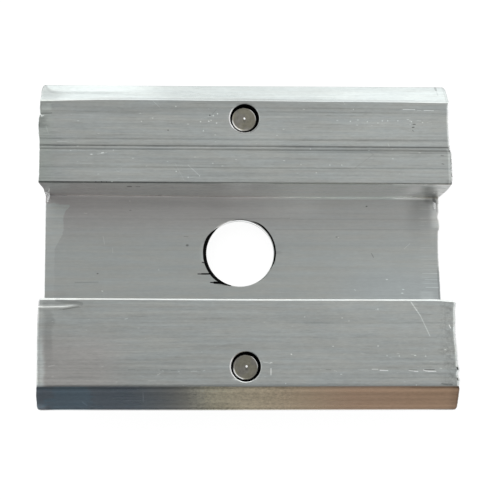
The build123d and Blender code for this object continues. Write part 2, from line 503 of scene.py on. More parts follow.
def mill_colour(graph, place, tone):
    """The aluminium's colour at a shade, mottled a little warmer and cooler."""
    red, green, bluish_reflection = bpy.context.scene.clamp_finish.aluminium
    hue = graph.noise(place, (0.14, 1.3, 1.3), detail=3.0, roughness=0.65, offset=(6.0, 4.0, 8.0))
    warmer, cooler = (red * 1.015, green, bluish_reflection * 0.985), (red * 0.985, green, bluish_reflection * 1.015)
    return graph.tinted(graph.mix(hue.ramp(0.32, 0.68), warmer, cooler), tone)


def wing_tone(graph, place, x, y, noises, shades, span, marks, specks, level):
    """The shade of a wing's top: streaks, dashes, die lines and marks. Also how far the marks are scraped."""
    fine, broad, cloud, patches, along = noises
    drawn = ((fine - 0.5) * 0.32 + (broad - 0.5) * 0.24) * x.ramp(-12.0, 8.0, 1.0, 0.66)
    tone = drawn + (cloud - 0.5) * 0.14 + (patches - 0.5) * 0.14 + 1.0
    tone = tone + grain(graph, place) * 0.24
    smudges = graph.noise(place, (0.17, 2.6, 2.6), detail=3.0, roughness=0.6, offset=(9.0, 2.0, 6.0))
    tone = tone - smudges.ramp(0.56, 0.72) * 0.10 + smudges.ramp(0.42, 0.28) * 0.06
    dashes = graph.noise(place, (0.7, 7.0, 7.0), detail=1.0, offset=(2.0, 6.0, 4.0))
    tone = tone - dashes.ramp(0.64, 0.72) * 0.07 + dashes.ramp(0.34, 0.27) * 0.05
    wavy = y + (along - 0.5) * 0.05
    lines = line_tone(graph, wavy, shades, *span) * ((along - 0.5) * 1.6 + 1.0)
    marked = mark_tone(graph, place, marks, specks, level)
    return (tone + lines) * marked, scraped(marked)


def flecks(graph, place, dense, shade):
    """Short bright flecks, thicker where dense is higher."""
    spread = graph.add("ShaderNodeMapping", sockets={"Vector": place, "Scale": (1.2, 2.6, 2.6)})
    cells = graph.add("ShaderNodeTexVoronoi", {"voronoi_dimensions": "3D"}, {
        "Vector": spread.outputs[0], "Scale": 1.0})
    pick = graph.wire(graph.add("ShaderNodeSeparateColor", sockets={0: cells.outputs["Color"]}), 0)
    return graph.wire(cells, "Distance").ramp(0.24, 0.12) * (pick + dense).ramp(0.93, 0.96) * shade + 1.0


def mill_output(graph, colour, noises, extra=0.0, metallic=1.0):
    """Ends a mill finish material: roughness and a very low relief follow the streaks."""
    fine, broad, cloud = noises[:3]
    rough = (fine - 0.5) * 0.12 + (cloud - 0.5) * 0.12 + 0.36 + extra
    height = (fine - 0.5) * 0.5 + (broad - 0.5)
    metal_output(graph, colour, rough, bump(graph, height, STREAK_RELIEF, 0.6), Metallic=metallic)


def back_wing_finish():
    """Mill finish of the back wing: die lines, painted shade on the inner edge, stained ends, and smears with
    painted shade and highlights on the slope.
    """
    material, graph, place, (x, y, z) = new_material("mill_finish_back_wing")
    top = bpy.context.scene.clamp_sizes.height / MM
    noises = streaks(graph, place)
    fine, patches = noises[0], noises[3]
    on_slope = y.ramp(17.36, 17.5)
    on_top = 1.0 - on_slope
    tone, scraped_and_highlight = wing_tone(graph, place, x, y, noises, BACK_SHADES, (7.4, 17.4), BACK_MARKS, BACK_SPECKS, top)
    tone = tone * (y.band(15.75, 17.6, 0.25) * on_top * -0.08 + (fine - 0.5) * 0.12 + 1.0)
    dense = y.band(14.4, 15.2, 0.25) * x.band(12.5, 23.6, 1.5) * 0.3
    dense = dense + y.band(10.2, 12.5, 0.5) * x.ramp(-9.0, -12.0) * 0.03
    tone = tone * flecks(graph, place, dense, on_top * 0.35)
    # Painted shade along the rounded inner edge of the top, and a darker band over the double groove
    edge = y.ramp(7.33, 7.24) * z.ramp(top - 0.35, top - 0.2) * patches.ramp(0.35, 0.55, 0.7, 1.1)
    groove = y.band(11.05, 11.78, 0.12) * x.ramp(-12.0, 20.0, -0.03, -0.25)
    tone = tone * (edge * x.ramp(-12.0, 6.0, -0.44, -0.14) + groove + 1.0)

    # Left end: a dark stain, a pale blotch over it and a darker margin. Right end: a pale, specked rim
    left, right = graph.attribute("left_gap"), graph.attribute("right_gap")
    stain = (left + (patches - 0.5) * 2.6).ramp(1.1, 0.2) * y.band(14.1, 15.0, 0.5) * -0.26
    pale = left.band(0.35, 1.1, 0.35) * y.band(16.25, 16.75, 0.3) * (patches - 0.1) * 0.45
    margin = (left + (patches - 0.5) * 2.0).ramp(4.2, 0.4) * y.ramp(13.8, 12.6) * -0.075
    inside = y.ramp(11.7, 11.4)
    outer = right.band(0.16, 0.36, 0.08) * inside * 0.32 + right.ramp(0.2, 0.05) * (1.0 - inside) * 0.2
    outer = outer - right.ramp(0.9, 0.3) * y.ramp(7.9, 7.5) * 0.24
    specks = graph.noise(place, (1.0, 4.2, 1.0), detail=1.0, offset=(0.0, 3.0, 7.0))
    specks = specks.ramp(0.40, 0.52) * right.ramp(0.17, 0.1) * inside * -0.72
    # On the slope, a painted highlight along the left end and painted shade near the right end
    rims = right.band(0.22, 0.3, 0.07) * -0.13 + left.ramp(0.25, 0.08) * 0.3
    tone = tone * ((stain + pale + margin + outer + specks) * on_top + rims * on_slope + 1.0)

    # Smears on the slope: a grey arc from the left end, dashes and a tick. Painted shade at the slope's left
    # end and middle, and a painted highlight in a band behind the arc
    fall = (x + 24.0) * -1.9
    arc = fall.maths("EXPONENT", fall) * 0.75 + 18.76 - y + (patches - 0.5) * 0.3
    smear = arc.band(0.05, 0.3, 0.25) * x.band(-24.2, -17.0, 3.0) * (patches + 0.2) * -0.10
    # Painted shade at the left end of the slope, and a painted highlight behind the arc
    shade = arc.ramp(-0.1, 0.2) * x.ramp(-20.4, -23.6) * -0.12
    shade = shade + arc.ramp(0.0, -0.3) * x.ramp(-10.0, -18.0) * 0.15
    dashes = y.band(18.55, 18.75, 0.12) * x.band(-20.0, -5.5, 1.5) * (patches - 0.42).ramp(0.0, 0.12) * -0.08
    tick = graph.strokes(place, (
        ((24.22, 20.1, 9.1), (24.26, 19.5, 9.6), 0.22, 0.5, -0.34),
        ((24.27, 19.5, 9.6), (24.33, 18.6, 10.4), 0.14, 0.5, -0.3)))
    # Painted shade in the middle of the slope and at the outer part of its left end
    middle = x.band(-8.0, 8.0, 5.0) * -0.13 - x.band(12.0, 18.0, 4.0) * 0.04
    middle = middle - x.ramp(-21.6, -23.4) * y.ramp(19.2, 18.7) * 0.09
    tone = tone * ((smear + shade + middle) * on_slope + dashes + tick + 1.0)
    # Painted shade on the lower side of the back pin's pocket edge, which dims its reflection
    tone = tone * (pocket_edge_shade(x, y, PIN_NODES[1]) * -0.4 + 1.0)
    colour = mill_colour(graph, place, tone)
    cool = graph.mix(on_slope * 0.6, colour, graph.tinted((0.60, 0.64, 0.635), tone))
    cool = graph.mix(left.ramp(2.0, 0.6) * on_top * 0.6, cool, graph.tinted((0.595, 0.642, 0.598), tone))
    # Painted highlight on the broken edge of the back pin's pocket
    cool = graph.mix(pocket_edge_highlight(x, y, PIN_NODES[1]), cool, EDGE_HIGHLIGHT)
    mill_output(graph, cool, noises, on_slope * -0.06, 1.0 - scraped_and_highlight)
    return material


# Where the broken edge round a pocket ends, as distances from the pocket's middle in mm
POCKET_EDGE = (1.97, 1.94)


def pocket_edge_shade(x, y, name):
    """One on the broken edge of a pin's pocket at its lower side, where painted shade darkens it."""
    dx, dy, reach = round_place(x, y, POCKET_PLACES[name])
    return reach.ramp(*POCKET_EDGE) * toward(dx, dy, reach, 0.25, -0.97).ramp(0.35, 0.8)


def pocket_edge_highlight(x, y, name):
    """A painted highlight on the broken edge of a pin's pocket, at the left and the lower left."""
    dx, dy, reach = round_place(x, y, POCKET_PLACES[name])
    lean = toward(dx, dy, reach, -0.77, -0.64).ramp(0.2, 0.6) * 0.2
    return reach.ramp(*POCKET_EDGE) * toward(dx, dy, reach, -0.995, -0.05).ramp(0.62, 0.9).at_least(lean)


def front_wing_finish():
    """Mill finish of the front wing's top: a rolled and dented left end with painted highlights and shade, a
    mottled right end.
    """
    material, graph, place, (x, y, _) = new_material("mill_finish_front_wing")
    top = bpy.context.scene.clamp_sizes.height / MM
    noises = streaks(graph, place)
    patches = noises[3]
    tone, scraped_and_highlight = wing_tone(
        graph, place, x, y, noises, FRONT_SHADES, (-17.4, -7.4), FRONT_MARKS, FRONT_SPECKS, top)
    tone = tone * flecks(graph, place, y.band(-16.1, -15.2, 0.2) * 0.05, 0.16)

    # Left end: painted highlights on the rolled rim, along the cut and on the lip and the step of the dent,
    # and painted shade in a band behind the rim and in a teardrop inside the dent
    left = graph.attribute("left_gap")
    rim = left + y.ramp(-14.5, -11.0, 0.0, 0.35) + (patches - 0.5) * 0.7
    rim = rim.ramp(1.15, 0.55) * y.ramp(-7.9, -8.7)
    edge = left.ramp(0.32, 0.05) * y.ramp(-13.0, -9.0) * 0.35
    band = (left + (patches - 0.5) * 1.1).band(1.1, 1.6, 0.45) * y.ramp(-15.5, -12.0) * -0.15
    band = band * y.ramp(-8.0, -9.0)
    lens = graph.stroke(place, (-22.2, -7.15, top), (-19.3, -7.6, top), 0.3, 0.6) * -0.26
    lip = y.ramp(-7.16, -7.06) * x.ramp(-19.0, -20.5) * left.ramp(0.4, 0.9) * 0.25
    dent = y.band(-7.9, -7.72, 0.06) * 0.15 + left.ramp(0.75, 0.3) * 0.3 + 0.1
    dent = dent * y.ramp(-8.0, -7.9) * x.ramp(-19.6, -20.6)
    tone = tone * (rim * y.ramp(-10.0, -15.5, 0.26, 0.48) + edge + band + lens + lip + dent + 1.0)

    # Right end: mottled dark wear, and a ragged bright edge
    worn = (x + (patches - 0.5) * 3.4).ramp(23.2, 24.4)
    spots = graph.noise(place, (2.2, 2.8, 2.8), detail=3.0, roughness=0.7, offset=(8.0, 1.0, 3.0))
    burr = (graph.attribute("right_gap") + (spots - 0.5) * 0.9).ramp(0.28, 0.06) * 0.6
    lighter = x.ramp(8.0, 14.0) * y.ramp(-12.5, -10.0) * 0.05
    tone = tone * (worn * ((spots - 0.55) * 0.95 - 0.05) + burr + lighter + 1.0)
    colour = mill_colour(graph, place, tone)
    warm = x.ramp(-12.0, -18.0) * y.ramp(-10.0, -13.5) * (1.0 - rim) * 0.8
    colour = graph.mix(warm, colour, graph.tinted((0.63, 0.61, 0.59), tone))
    # Painted highlight on the broken edge of the front pin's pocket
    colour = graph.mix(pocket_edge_highlight(x, y, PIN_NODES[0]), colour, EDGE_HIGHLIGHT)
    mill_output(graph, colour, noises, 0.0, 1.0 - scraped_and_highlight)
    return material


def front_slope_finish():
    """The sloped edge of the front wing: lines along it, cross hatching, and a bluish to brownish tint that
    is partly tarnished metal and partly painted reflection.
    """
    material, graph, place, (x, y, _) = new_material("mill_finish_front_slope")
    noises = streaks(graph, place)
    broad, cloud, patches, along = noises[1:]
    # Lines along the slope, partly painted shade and reflection
    lines = line_tone(graph, y + (along - 0.5) * 0.1, SLOPE_SHADES, -20.2, -17.2)
    lines = lines * x.ramp(8.0, -2.0, 0.85, 1.1)
    hatch = graph.noise(place, (2.6, 3.4, 3.4), detail=3.0, roughness=0.65, offset=(1.0, 1.0, 9.0))
    tone = lines + (hatch - 0.5) * (x.band(-5.0, 5.0, 3.0) * 0.85 + 0.12) + (broad - 0.5) * 0.45 + 1.0
    right = graph.attribute("right_gap")
    # Painted shade along the bottom edge, at the right end and in bands at the right
    tone = tone - y.ramp(-19.65, -19.95) * 0.2 - right.ramp(1.3, 0.3) * 0.16 - right.ramp(0.35, 0.1) * 0.2
    tone = tone - y.ramp(-17.75, -17.6) * x.ramp(17.0, 22.0) * 0.2
    tone = tone - y.band(-18.4, -18.1, 0.12) * x.ramp(2.0, 8.0) * 0.1
    flat = graph.vector("MULTIPLY", place, (1.0, 1.0, 0.0))
    tone = tone + graph.strokes(flat, (
        ((-11.93, -18.1, 0.0), (-11.9, -19.05, 0.0), 0.08, 0.5, 0.3),
        ((-19.1, -19.15, 0.0), (-18.6, -19.5, 0.0), 0.12, 0.5, 0.22)))
    tone = tone + grain(graph, place) * 0.3
    tone = tone + graph.attribute("left_gap").ramp(1.3, 0.5) * y.ramp(-19.1, -19.6) * 0.55
    tone = tone - y.ramp(-19.0, -19.7) * x.band(-4.8, -1.6, 1.6) * 0.22
    # A tint along X, partly tarnished metal and partly painted reflection: bluish grey at the left, turning
    # pale tan and then brown towards the right
    tarnish_and_reflection = graph.add("ShaderNodeValToRGB", {"stops": (
        (0.0, (0.45, 0.44, 0.46)), (0.22, (0.45, 0.445, 0.47)), (0.335, (0.49, 0.47, 0.465)),
        (0.365, (0.52, 0.50, 0.48)), (0.395, (0.66, 0.64, 0.60)), (0.42, (0.72, 0.69, 0.62)),
        (0.5, (0.66, 0.62, 0.57)), (0.57, (0.60, 0.56, 0.52)), (0.66, (0.56, 0.50, 0.47)),
        (0.75, (0.52, 0.44, 0.42)), (1.0, (0.49, 0.42, 0.395)))},
        {0: (x + (hatch - 0.5) * 1.6 + (y + 18.7) * 0.25 + 25.0) / 50.0}).outputs[0]
    # A painted bluish reflection at the left end of the slope, and in patches near it
    bluish_reflection = (x + (patches - 0.5) * 5.0).band(-22.4, -18.6, 1.0) * (cloud + 0.3)
    bluish_reflection = bluish_reflection + patches.ramp(0.52, 0.66) * x.ramp(-9.0, -13.0) * 0.3
    tint = graph.mix(bluish_reflection, (1.25, 1.27, 1.22), (1.19, 1.39, 1.40))
    mill_output(graph, graph.tinted(graph.mix(1.0, tarnish_and_reflection, tint, "MULTIPLY"), tone), noises, -0.06)
    return material


def channel_finish():
    """Mill finish of the channel and the underside: warm below the back wall, with painted shade and
    highlights on the walls and the floor, and a dark rim of painted shadow round the bore.
    """
    sizes, finish = bpy.context.scene.clamp_sizes, bpy.context.scene.clamp_finish
    material, graph, place, (x, y, z) = new_material("mill_finish_channel")
    top, floor, wall = sizes.height / MM, sizes.floor / MM, sizes.channel_half / MM
    noises = fine, broad, cloud, patches, along = streaks(graph, place)
    on_floor = z.band(floor - 0.2, floor + 0.2, 0.3) * abs(y).ramp(7.1, 6.9)
    on_wall = abs(y).band(6.95, 7.5, 0.1) * z.band(floor + 0.2, top, 0.1)
    tone = (fine - 0.5) * 0.16 + (broad - 0.5) * 0.14 + (cloud - 0.5) * 0.1 + (patches - 0.5) * 0.06 + 1.0
    tone = tone + line_tone(graph, y + (along - 0.5) * 0.05, FLOOR_SHADES, -6.8, 6.8) * on_floor
    tone = tone * ((mark_tone(graph, place, FLOOR_MARKS, (), floor) - 1.0) * 1.3 + 1.0)
    speckle = grain(graph, place)
    # Painted reflection on the channel's walls: lighter towards the right, with painted shade high above the
    # bore
    bore_side_shade = x.band(-2.0, 1.0, 4.0) * z.ramp(5.6, 11.0) * -0.56
    shade = x.ramp(-22.0, -17.0, 0.19, 0.27) + x.ramp(1.0, 9.0, 0.0, 0.29) + bore_side_shade
    tone = tone * (on_wall * (shade + (fine - 0.5) * 0.3 + speckle * 0.8) + 1.0)
    warm_side = y.ramp(4.2, 5.2) * x.band(0.0, 8.0, 4.0) * 0.10
    # A painted highlight along the corner of the back wall and the floor
    line = y.band(6.98, 7.2, 0.06) * z.ramp(floor + 0.3, floor + 0.15) * x.band(0.0, 15.0, 4.0) * 0.17
    tone = tone * (on_floor * (y.ramp(3.0, 6.0, 0.0, 0.035) + warm_side + speckle * 0.16) + line + 1.0)
    left, right = graph.attribute("left_gap"), graph.attribute("right_gap")

    # Left end of the floor: a painted reflection, a paler zone behind a ragged line
    shore = y.ramp(0.0, 3.2, -23.4, -22.35) + y.ramp(5.1, 5.9, 0.0, 0.65) + (patches - 0.5) * 0.7
    pale = (x - shore).ramp(0.08, -0.08) * on_floor * (y + (patches - 0.5) * 1.2).ramp(6.3, 6.15)
    tone = tone * (pale * y.ramp(-6.0, 6.0, 0.04, 0.20) + 1.0)

    # At the right, painted shade on the back wall and at its foot, painted shadow round a burr on the floor
    # and a painted highlight on the burr, and lighter lines on the wall; at the left, dark specks and lines;
    # mostly on the back wall
    spots = graph.strokes(place, (
        ((23.2, wall, 9.4), (24.1, wall, 4.4), 1.0, 0.75, -0.3),
        ((22.2, wall, 3.7), (25.0, wall, 3.9), 0.45, 0.7, -0.34),
        ((24.85, 7.0, floor), (25.0, 6.75, floor), 0.26, 0.6, -0.5),
        ((24.0, 6.9, floor), (24.6, 6.7, floor), 0.6, 0.9, -0.22),
        ((25.24, 6.57, floor), (25.24, 5.4, floor), 0.08, 0.5, -0.4),
        ((24.83, 6.6, floor), (24.86, 5.85, floor), 0.13, 0.5, 0.9),
        ((24.1, wall, 8.6), (24.3, wall, 5.6), 0.5, 0.9, 0.06),
        ((23.6, wall, 10.95), (25.2, wall, 11.0), 0.12, 0.5, 0.5),
        ((-24.0, wall, 4.75), (-21.0, wall, 4.7), 0.14, 0.5, -0.05),
        ((-13.95, 7.17, 9.3), (-13.75, 7.17, 9.3), 0.3, 0.5, -1.1),
        ((-12.9, 7.17, 9.3), (-12.7, 7.17, 9.3), 0.28, 0.5, -0.5),
        ((-10.35, 7.17, 3.6), (-10.15, 7.17, 3.6), 0.26, 0.5, -0.6),
        ((-23.4, wall, 11.2), (-20.8, wall, 11.3), 0.4, 0.5, -0.22)))
    # Painted highlights on the back wall near its right end, lighter and less metallic there
    scraped_and_highlight = graph.strokes(place, (
        ((21.3, wall, 9.6), (21.5, wall, 6.2), 1.5, 0.9, 0.34),
        ((18.6, wall, 11.3), (22.4, wall, 11.3), 0.45, 0.6, 0.6)))
    torn = graph.noise(place, (0.2, 6.0, 6.0), detail=1.0)
    tone = tone * (
        spots + scraped_and_highlight * 0.4
        # A stain on the floor, a painted highlight along its corner with the back wall, and mottled darkening
        # at the end of the back wall
        - x.ramp(20.6, 22.8) * right.ramp(0.7, 1.5) * y.ramp(-1.0, 6.0) * on_floor * 0.17
        + y.band(7.05, 7.13, 0.04) * z.ramp(floor + 0.3, floor + 0.2) * x.band(21.2, 22.2, 3.0) * 0.9
        + on_wall * right.ramp(1.9, 0.9) * ((patches - 0.5) * 1.8 - 0.19)
        # The floor's right end: a bright margin, a dark rim in front, a pale patch and torn lines
        + right.ramp(1.3, 0.3) * y.band(3.6, 6.1, 0.5) * on_floor * 0.30
        - right.ramp(0.4, 0.12) * y.ramp(-1.5, -2.5) * 0.32
        + (x + patches).band(23.6, 24.6, 0.8) * (y + patches * 0.6).band(-5.6, -4.8, 0.4) * on_floor * 0.15
        + x.ramp(22.6, 23.4) * on_floor * torn.ramp(0.56, 0.7) * 0.12
        # Painted shade at the left end of the back wall
        - on_wall * left.ramp(3.6, 0.6) * 0.08 + 1.0)

    colour = mill_colour(graph, place, tone)
    warm = on_floor * y.ramp(0.0, 6.5) * x.ramp(14.0, -6.0, 0.45, 0.9)
    warm = (warm + on_wall * x.ramp(-12.0, -20.0, 0.25, 0.6)) * (1.0 - pale)
    warm = warm.at_least(y.ramp(6.6, 6.9) * z.ramp(floor + 1.0, floor + 0.4) * x.ramp(12.0, 0.0))
    colour = graph.mix(warm, colour, graph.tinted((0.635, 0.61, 0.60), tone))
    cool = x.ramp(8.0, 18.0) * y.ramp(-1.0, -4.0) * on_floor
    colour = graph.mix(cool, colour, graph.tinted((0.605, 0.648, 0.65), tone))

    # Painted shadow as a dark rim round the punched bore: wide at the left, thin at the right with a grey
    # inner side, and painted shadow on the torn marks in front
    dx, dy, radius = round_place(x, y, BORE_PLACE)
    radius = radius + (patches - 0.5) * 0.06
    leftward = toward(dx, dy, radius, -0.975, -0.22).ramp(0.36, 0.9)
    rightward = toward(dx, dy, radius, 0.93, 0.37).ramp(0.48, 0.9)
    upward = toward(dx, dy, radius, 0.17, 0.98).ramp(0.87, 0.97)
    bore_shadow = (radius - leftward * 0.46).ramp(4.27, 4.23)
    bore_shadow = bore_shadow.at_least((radius - rightward * 0.32).ramp(4.27, 4.23) * radius.ramp(4.32, 4.38))
    bore_shadow = bore_shadow.at_least((radius - upward * 0.1).ramp(4.28, 4.22) * 0.7)
    flat = graph.vector("MULTIPLY", place, (1.0, 1.0, 0.0))
    for start, end, half in (
            ((-5.4, -2.71), (-3.8, -2.71), 0.07), ((-4.9, -2.7), (-3.6, -2.68), 0.11),
            ((-3.8, -3.78), (-2.5, -3.82), 0.08), ((-3.3, -3.81), (-2.4, -3.84), 0.19),
            ((-2.6, -3.88), (-1.3, -4.17), 0.1), ((-4.84, -1.22), (-4.6, -1.3), 0.07)):
        bore_shadow = bore_shadow.at_least(graph.stroke(flat, (*start, 0.0), (*end, 0.0), half, 0.4))
    bore_shadow = bore_shadow * z.ramp(2.3, 2.5)
    colour = graph.mix(bore_shadow, colour, tuple(finish.hole_shadow))
    mill_output(graph, colour, noises, bore_shadow * 0.4 - on_wall * 0.06, 1.0 - scraped_and_highlight)
    return material


def sawn_finish():
    """Sawn ends: coarse straight saw lines."""
    material, graph, place, _ = new_material("sawn_aluminium")
    lines = graph.noise(place, (0.3, 0.35, 9.0), detail=3.0, roughness=0.6)
    waves = graph.noise(place, (0.2, 0.25, 1.8), detail=1.0, offset=(4.0, 1.0, 9.0))
    tone = (lines - 0.5) * 0.35 + (waves - 0.5) * 0.2 + 1.0
    colour = graph.tinted(tuple(bpy.context.scene.clamp_finish.sawn), tone)
    normal = bump(graph, (lines - 0.5) + (waves - 0.5) * 1.5, SAW_RELIEF, 0.8)
    metal_output(graph, colour, (lines - 0.5) * 0.2 + 0.34, normal)
    return material


def burr_finish():
    """Fresh bright aluminium of the burrs."""
    material, graph, place, _ = new_material("burr_aluminium")
    spread = (graph.noise(place, (6.0, 6.0, 6.0), detail=2.0) - 0.5) * 0.3
    metal_output(graph, graph.tinted(FRESH_METAL, spread + 1.0), spread + 0.38, Metallic=0.35)
    return material


def punched_finish():
    """Walls of the bore and the pockets: bright and streaked downwards in the bore, with painted dark shadow
    in the pockets.
    """
    material, graph, place, (_, y, _) = new_material("punched_aluminium")
    lines = graph.noise(place, (7.0, 7.0, 0.5), detail=2.0)
    colour = graph.tinted(FRESH_METAL, (lines - 0.5) * 0.15 + 1.0)
    # Painted shadow on the walls of the pockets
    pockets = abs(y).ramp(9.0, 10.0)
    colour = graph.mix(pockets, colour, tuple(bpy.context.scene.clamp_finish.hole_shadow))
    metal_output(graph, colour, (lines - 0.5) * 0.2 + 0.3 + pockets * 0.4)
    return material


def turned_steel(middle, nib, shade):
    """Stainless steel with turned rings round the pin's own axis, a painted highlight on its rim and on its
    parting nib, and a painted shadow below the nib.
    """
    sizes, finish = bpy.context.scene.clamp_sizes, bpy.context.scene.clamp_finish
    material, graph, place, (x, y, z) = new_material("turned_steel")
    dx, dy, radius = round_place(x, y, middle)
    rings = graph.add(
        "ShaderNodeTexNoise", {"noise_dimensions": "1D"},
        {"W": radius, "Scale": 7.0, "Detail": 3.0, "Roughness": 0.6})
    ring = graph.wire(rings, "Fac")
    grime = graph.noise(place, (2.2, 2.2, 2.2), detail=4.0, roughness=0.65)
    tone = (ring - 0.5) * 0.30 + (grime - 0.5) * 0.8 + shade
    colour = graph.tinted(tuple(finish.steel), tone)
    violet = graph.noise(place, (0.8, 0.8, 0.8), detail=2.0, offset=(3.0, 3.0, 3.0)).ramp(0.45, 0.6)
    colour = graph.mix(violet * 0.6, colour, graph.tinted((0.325, 0.312, 0.295), tone))
    back = z.ramp(sizes.height / MM - 1.2, sizes.height / MM - 1.0)
    # Painted highlight on the rim of the back: strong at the lower left, thin at the upper right and faint
    # all round
    lean = toward(dx, dy, radius, -0.72, -0.694).ramp(0.6, 0.88)
    rim = (radius + lean * 0.16).ramp(1.5, 1.54) * lean
    rim = rim.at_least(toward(dx, dy, radius, 0.87, 0.5).ramp(0.72, 0.94) * radius.ramp(1.385, 1.425))
    rim = (rim * back).at_least(radius.ramp(1.4, 1.45) * back * 0.3)
    # A painted highlight on the parting nib, and a painted shadow just below it
    spot = ((dx - nib[0]) ** 2.0 + (dy - nib[1]) ** 2.0) ** 0.5
    shadow = ((dx - nib[0]) ** 2.0 + (dy - nib[1] + 0.3) ** 2.0) ** 0.5
    bright = rim.at_least(spot.ramp(0.17, 0.12) * back)
    colour = graph.mix(shadow.ramp(0.2, 0.1) * back * 0.3, colour, (0.05, 0.05, 0.045))
    colour = graph.mix(bright, colour, (0.96, 0.96, 0.94))
    normal = bump(graph, ring, RING_RELIEF, 0.6)
    metal_output(graph, colour, (grime - 0.5) * 0.15 + 0.36 - bright * 0.12, normal, Metallic=1.0 - rim * 0.6)
    return material


# ---------------------------------------------------------------- mesh writing


def arc_corner(before, corner, after, radius, segments):
    """Points of the arc that rounds one corner of a section."""
    corner, before, after = Vector(corner), Vector(before), Vector(after)
    back, ahead = (before - corner).normalized(), (after - corner).normalized()
    half = back.angle(ahead) / 2
    centre = corner + (back + ahead).normalized() * (radius / math.sin(half))
    start = corner + back * (radius / math.tan(half)) - centre
    end = corner + ahead * (radius / math.tan(half)) - centre
    turn = start.angle_signed(end)
    points = []
    for index in range(segments + 1):
        angle = -turn * index / segments
        points.append(centre + Matrix.Rotation(angle, 2) @ start)
    return points


def section_points(corners):
    """Dense points round the section. A corner is ((y, z), radius, spacing of the run after it), in mm."""
    rounded = []
    count = len(corners)
    for index, (corner, radius, _) in enumerate(corners):
        before, after = corners[index - 1][0], corners[(index + 1) % count][0]
        rounded.append(arc_corner(before, corner, after, radius, 6 if radius < 0.8 else 10))
    points = []
    for index, arc in enumerate(rounded):
        following = rounded[(index + 1) % count][0]
        points.extend(arc)
        run = following - arc[-1]
        steps = max(1, round(run.length / corners[index][2]))
        points.extend(arc[-1] + run * (step / steps) for step in range(1, steps))
    return points


def lathe(name, profile, segments, place=(0.0, 0.0), swell=None):
    """A closed turned mesh. The profile holds (radius, z) from the lower pole to the upper one, in metres."""
    verts, faces = [], []
    for radius, z in profile[1:-1]:
        for index in range(segments):
            angle = 2 * math.pi * index / segments
            reach = radius + (swell(angle, z) if swell else 0.0)
            verts.append((place[0] + reach * math.cos(angle), place[1] + reach * math.sin(angle), z))
    for row in range(len(profile) - 3):
        for index in range(segments):
            ahead = (index + 1) % segments
            low, high = row * segments, (row + 1) * segments
            faces.append((low + index, low + ahead, high + ahead, high + index))
    bottom, top = len(verts), len(verts) + 1
    verts.append((*place, profile[0][1]))
    verts.append((*place, profile[-1][1]))
    last = (len(profile) - 3) * segments
    for index in range(segments):
        ahead = (index + 1) % segments
        faces.append((bottom, ahead, index))
        faces.append((top, last + index, last + ahead))
    mesh = bpy.data.meshes.new(name)
    mesh.from_pydata(verts, [], faces)
    mesh.validate()
    return mesh


def new_object(name, mesh):
    obj = bpy.data.objects.new(name, mesh)
    bpy.context.scene.collection.objects.link(obj)
    return obj


def new_tree(name, inputs, output):
    """A geometry tree with named inputs: the tree, its graph and the sockets that hold what is given."""
    tree = bpy.data.node_groups.new(name, "GeometryNodeTree")
    graph = Graph(tree)
    for label, kind in inputs:
        tree.interface.new_socket(label, in_out="INPUT", socket_type="NodeSocket" + kind)
    tree.interface.new_socket(output, in_out="OUTPUT", socket_type="NodeSocketGeometry")
    return tree, graph, graph.add("NodeGroupInput").outputs


def end_tree(graph, geometry, finish):
    """Ends a geometry tree with its instances made real and its material set."""
    realized = graph.add("GeometryNodeRealizeInstances", sockets={0: geometry})
    painted = graph.add("GeometryNodeSetMaterial", sockets={
        "Geometry": realized.outputs[0], "Material": finish})
    graph.add("NodeGroupOutput", sockets={0: painted.outputs[0]})


def run_tree(obj, tree, values):
    """Runs a geometry tree on an object, and turns the result into the object's own plain mesh."""
    modifier = obj.modifiers.new(tree.name, "NODES")
    modifier.node_group = tree
    for item in tree.interface.items_tree:
        if item.item_type == "SOCKET" and item.in_out == "INPUT" and item.name in values:
            modifier[item.identifier] = values[item.name]
    shown = obj.evaluated_get(bpy.context.evaluated_depsgraph_get())
    mesh = bpy.data.meshes.new_from_object(shown)
    mesh.name = obj.name
    obj.modifiers.clear()
    obj.data = mesh
    return mesh


# ---------------------------------------------------------------- clamp body


